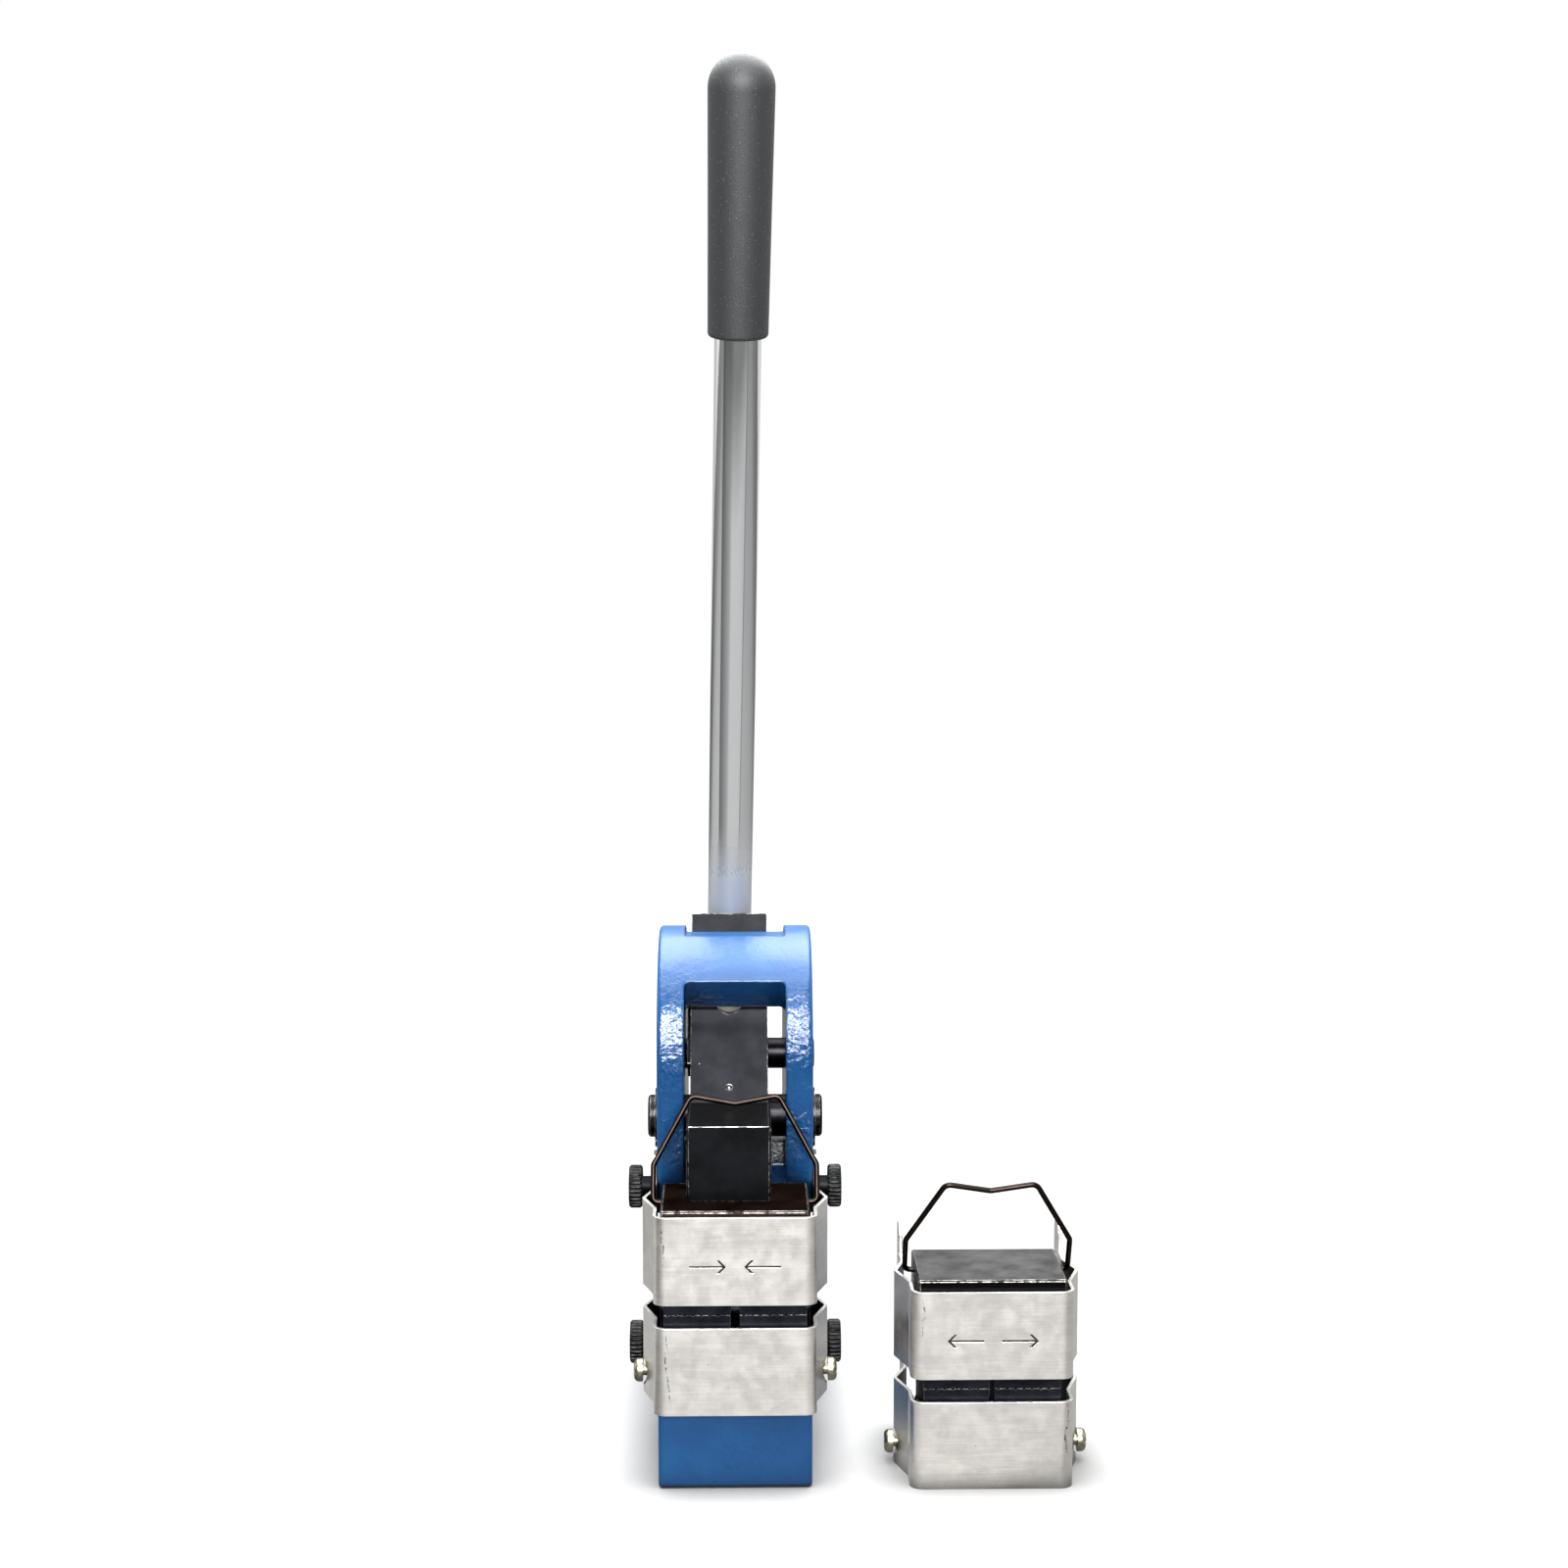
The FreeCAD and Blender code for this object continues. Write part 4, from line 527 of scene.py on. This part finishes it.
studio = {"ambient": 0.08, "floorSize": 8, "floorColour": "#909090", "roomColour": "#303030",
          "nearGlow": 0.78, "farGlow": 1.0, "nearReach": 0.25, "farReach": 0.9, "mirrorGlow": 0.2,
          "contactShadeReach": 0.02, "frontEdge": -0.6, "frontDark": -0.8,
          # Share of the way round, and the wall's grey there
          "band": [(0.0, "#CFCFCF"), (0.13, "#CFCFCF"), (0.17, "#FFFFFF"), (0.285, "#FFFFFF"),
                   (0.3, "#8E8E8E"), (0.42, "#D8D8D8"), (0.45, "#FFFFFF"), (0.635, "#FFFFFF"),
                   (0.648, "#A8A8A8"), (0.66, "#E6E6E6"), (1.0, "#E6E6E6")]}


def studioBand(tree, vector):
    # What polished metal sees at each bearing round the tool: white walls with a few grey gaps
    parts = addNode(tree, "SeparateXYZ", {0: vector})
    front = addNode(tree, "Math", {0: parts.outputs[1], 1: -1}, operation="MULTIPLY")
    bearing = addNode(tree, "Math", {0: parts.outputs[0], 1: front.outputs[0]}, operation="ARCTAN2")
    share = addNode(tree, "MapRange", {"Value": bearing.outputs[0], "From Min": -math.pi,
                                       "From Max": math.pi})
    return addNode(tree, "ValToRGB", {0: share.outputs[0]}, stops=studio["band"]).outputs[0]


def buildWorld():
    world = bpy.data.worlds.new("studioWorld")
    bpy.context.scene.world = world
    world.use_nodes = True
    tree = world.node_tree
    tree.nodes.clear()
    rays = addNode(tree, "LightPath")
    place = addNode(tree, "TexCoord").outputs["Generated"]
    mirror = mixColour(tree, rays.outputs["Is Glossy Ray"], [1, 1, 1, 1], studioBand(tree, place))
    seen = addNode(tree, "Math", {0: rays.outputs["Is Camera Ray"], 1: rays.outputs["Is Glossy Ray"]},
                   operation="MAXIMUM")
    seen = addNode(tree, "Math", {0: seen.outputs[0], 1: rays.outputs["Is Transmission Ray"]},
                   operation="MAXIMUM")
    strength = addNode(tree, "MapRange", {"Value": seen.outputs[0], "To Min": studio["ambient"], "To Max": 1})
    back = addNode(tree, "Background", {"Color": mirror, "Strength": strength.outputs[0]})
    addNode(tree, "OutputWorld", {"Surface": back.outputs[0]})


def buildFloor():
    shape = bmesh.new()
    bmesh.ops.create_grid(shape, x_segments=1, y_segments=1, size=studio["floorSize"] / 2)
    mesh = bpy.data.meshes.new("floor")
    shape.to_mesh(mesh)
    shape.free()
    floor = bpy.data.objects.new("floor", mesh)
    bpy.context.scene.collection.objects.link(floor)
    material = bpy.data.materials.new("paleFloor")
    material.use_nodes = True
    tree = material.node_tree
    tree.nodes.clear()
    rays = addNode(tree, "LightPath")
    place = addNode(tree, "TexCoord").outputs["Object"]
    # The paper glows more with distance, so that it runs into the white wall and keeps the near shadow
    away = addNode(tree, "VectorMath", {0: place}, operation="LENGTH")
    glow = addNode(tree, "MapRange", {"Value": away.outputs["Value"], "From Min": studio["nearReach"],
                                      "From Max": studio["farReach"], "To Min": studio["nearGlow"],
                                      "To Max": studio["farGlow"]})
    glow = addNode(tree, "Math", {0: rays.outputs["Is Camera Ray"], 1: glow.outputs[0]}, operation="MULTIPLY")
    # Painted contact shadow: ambient occlusion fades the camera glow where the paper meets the tool
    corner = addNode(tree, "AmbientOcclusion", {"Distance": studio["contactShadeReach"]}, samples=8)
    corner = addNode(tree, "Math", {0: corner.outputs["AO"], 1: 2}, operation="POWER")
    glow = addNode(tree, "Math", {0: glow.outputs[0], 1: corner.outputs[0]}, operation="MULTIPLY")
    mirror = addNode(tree, "Math", {0: rays.outputs["Is Glossy Ray"], 1: rays.outputs["Is Transmission Ray"]},
                     operation="MAXIMUM")
    total = addNode(tree, "Math", {0: mirror.outputs[0], 1: studio["mirrorGlow"], 2: glow.outputs[0]},
                    operation="MULTIPLY_ADD")
    tint = mixColour(tree, rays.outputs["Is Glossy Ray"], [1, 1, 1, 1], studioBand(tree, place))
    light = addNode(tree, "Emission", {"Color": tint, "Strength": total.outputs[0]})
    paper = mixColour(tree, 1.0, studio["floorColour"], tint, "MULTIPLY")
    # The paper ends in front of the tool, and the dark room beyond it lights nothing
    parts = addNode(tree, "SeparateXYZ", {0: place})
    paperShare = addNode(tree, "MapRange", {"Value": parts.outputs[1], "From Min": studio["frontDark"],
                                            "From Max": studio["frontEdge"]})
    kept = addNode(tree, "Math", {0: paperShare.outputs[0], 1: rays.outputs["Is Camera Ray"]},
                   operation="MAXIMUM")
    paper = mixColour(tree, kept.outputs[0], studio["roomColour"], paper)
    matt = addNode(tree, "BsdfDiffuse", {"Color": paper})
    both = addNode(tree, "AddShader", {0: matt.outputs[0], 1: light.outputs[0]})
    addNode(tree, "OutputMaterial", {"Surface": both.outputs[0]})
    mesh.materials.append(material)


# The glare lamp lights no matt surface: it only shows in glossy ones
lamps = {
    "stripLamp": {"place": (0.0, -1.07, 0.69), "target": (0.0, 0.0, 0.15), "size": (0.16, 0.85), "watts": 6},
    "glareLamp": {"place": (0.0, -1.08, 0.7), "target": (0.0, 0.0, 0.15), "size": (0.6, 0.55), "watts": 40,
                  "glossOnly": True},
    "topLamp": {"place": (0.0, -0.02, 1.45), "target": (0.0, -0.02, 0.0), "size": (1.3, 1.35), "watts": 33},
    "rimLamp": {"place": (0.0, 0.62, 1.3), "target": (0.0, 0.0, 0.15), "size": (1.5, 1.0), "watts": 44,
                "glossOnly": True, "shadowless": True},
    "leftLamp": {"place": (-1.3, 0.1, 0.7), "target": (0.0, 0.0, 0.15), "size": (0.6, 1.0), "watts": 3},
    "rightLamp": {"place": (1.3, 0.1, 0.7), "target": (0.0, 0.0, 0.15), "size": (0.6, 1.0), "watts": 3},
}


def buildLamps():
    for name, lamp in lamps.items():
        light = bpy.data.lights.new(name, "AREA")
        light.shape = "RECTANGLE"
        light.size, light.size_y = lamp["size"]
        light.energy = lamp["watts"]
        holder = bpy.data.objects.new(name, light)
        holder.location = lamp["place"]
        aim = Vector(lamp["target"]) - Vector(lamp["place"])
        holder.rotation_euler = aim.to_track_quat("-Z", "Y").to_euler()
        holder.visible_camera = False
        holder.visible_diffuse = not lamp.get("glossOnly", False)
        light.use_shadow = not lamp.get("shadowless", False)
        bpy.context.scene.collection.objects.link(holder)


view = {"place": (0.00184, -0.9158, 0.3416), "pitch": -6, "yaw": -1.05, "lens": 56.25, "sensor": 36}


def buildCamera():
    lens = bpy.data.cameras.new("camera")
    lens.lens = view["lens"]
    lens.sensor_width = view["sensor"]
    camera = bpy.data.objects.new("camera", lens)
    camera.location = view["place"]
    camera.rotation_euler = (math.radians(90 + view["pitch"]), 0, math.radians(view["yaw"]))
    bpy.context.scene.collection.objects.link(camera)
    bpy.context.scene.camera = camera


buildWorld()
buildFloor()
buildLamps()
buildCamera()
bpy.context.scene.view_settings.view_transform = "Standard"
print("studio done")
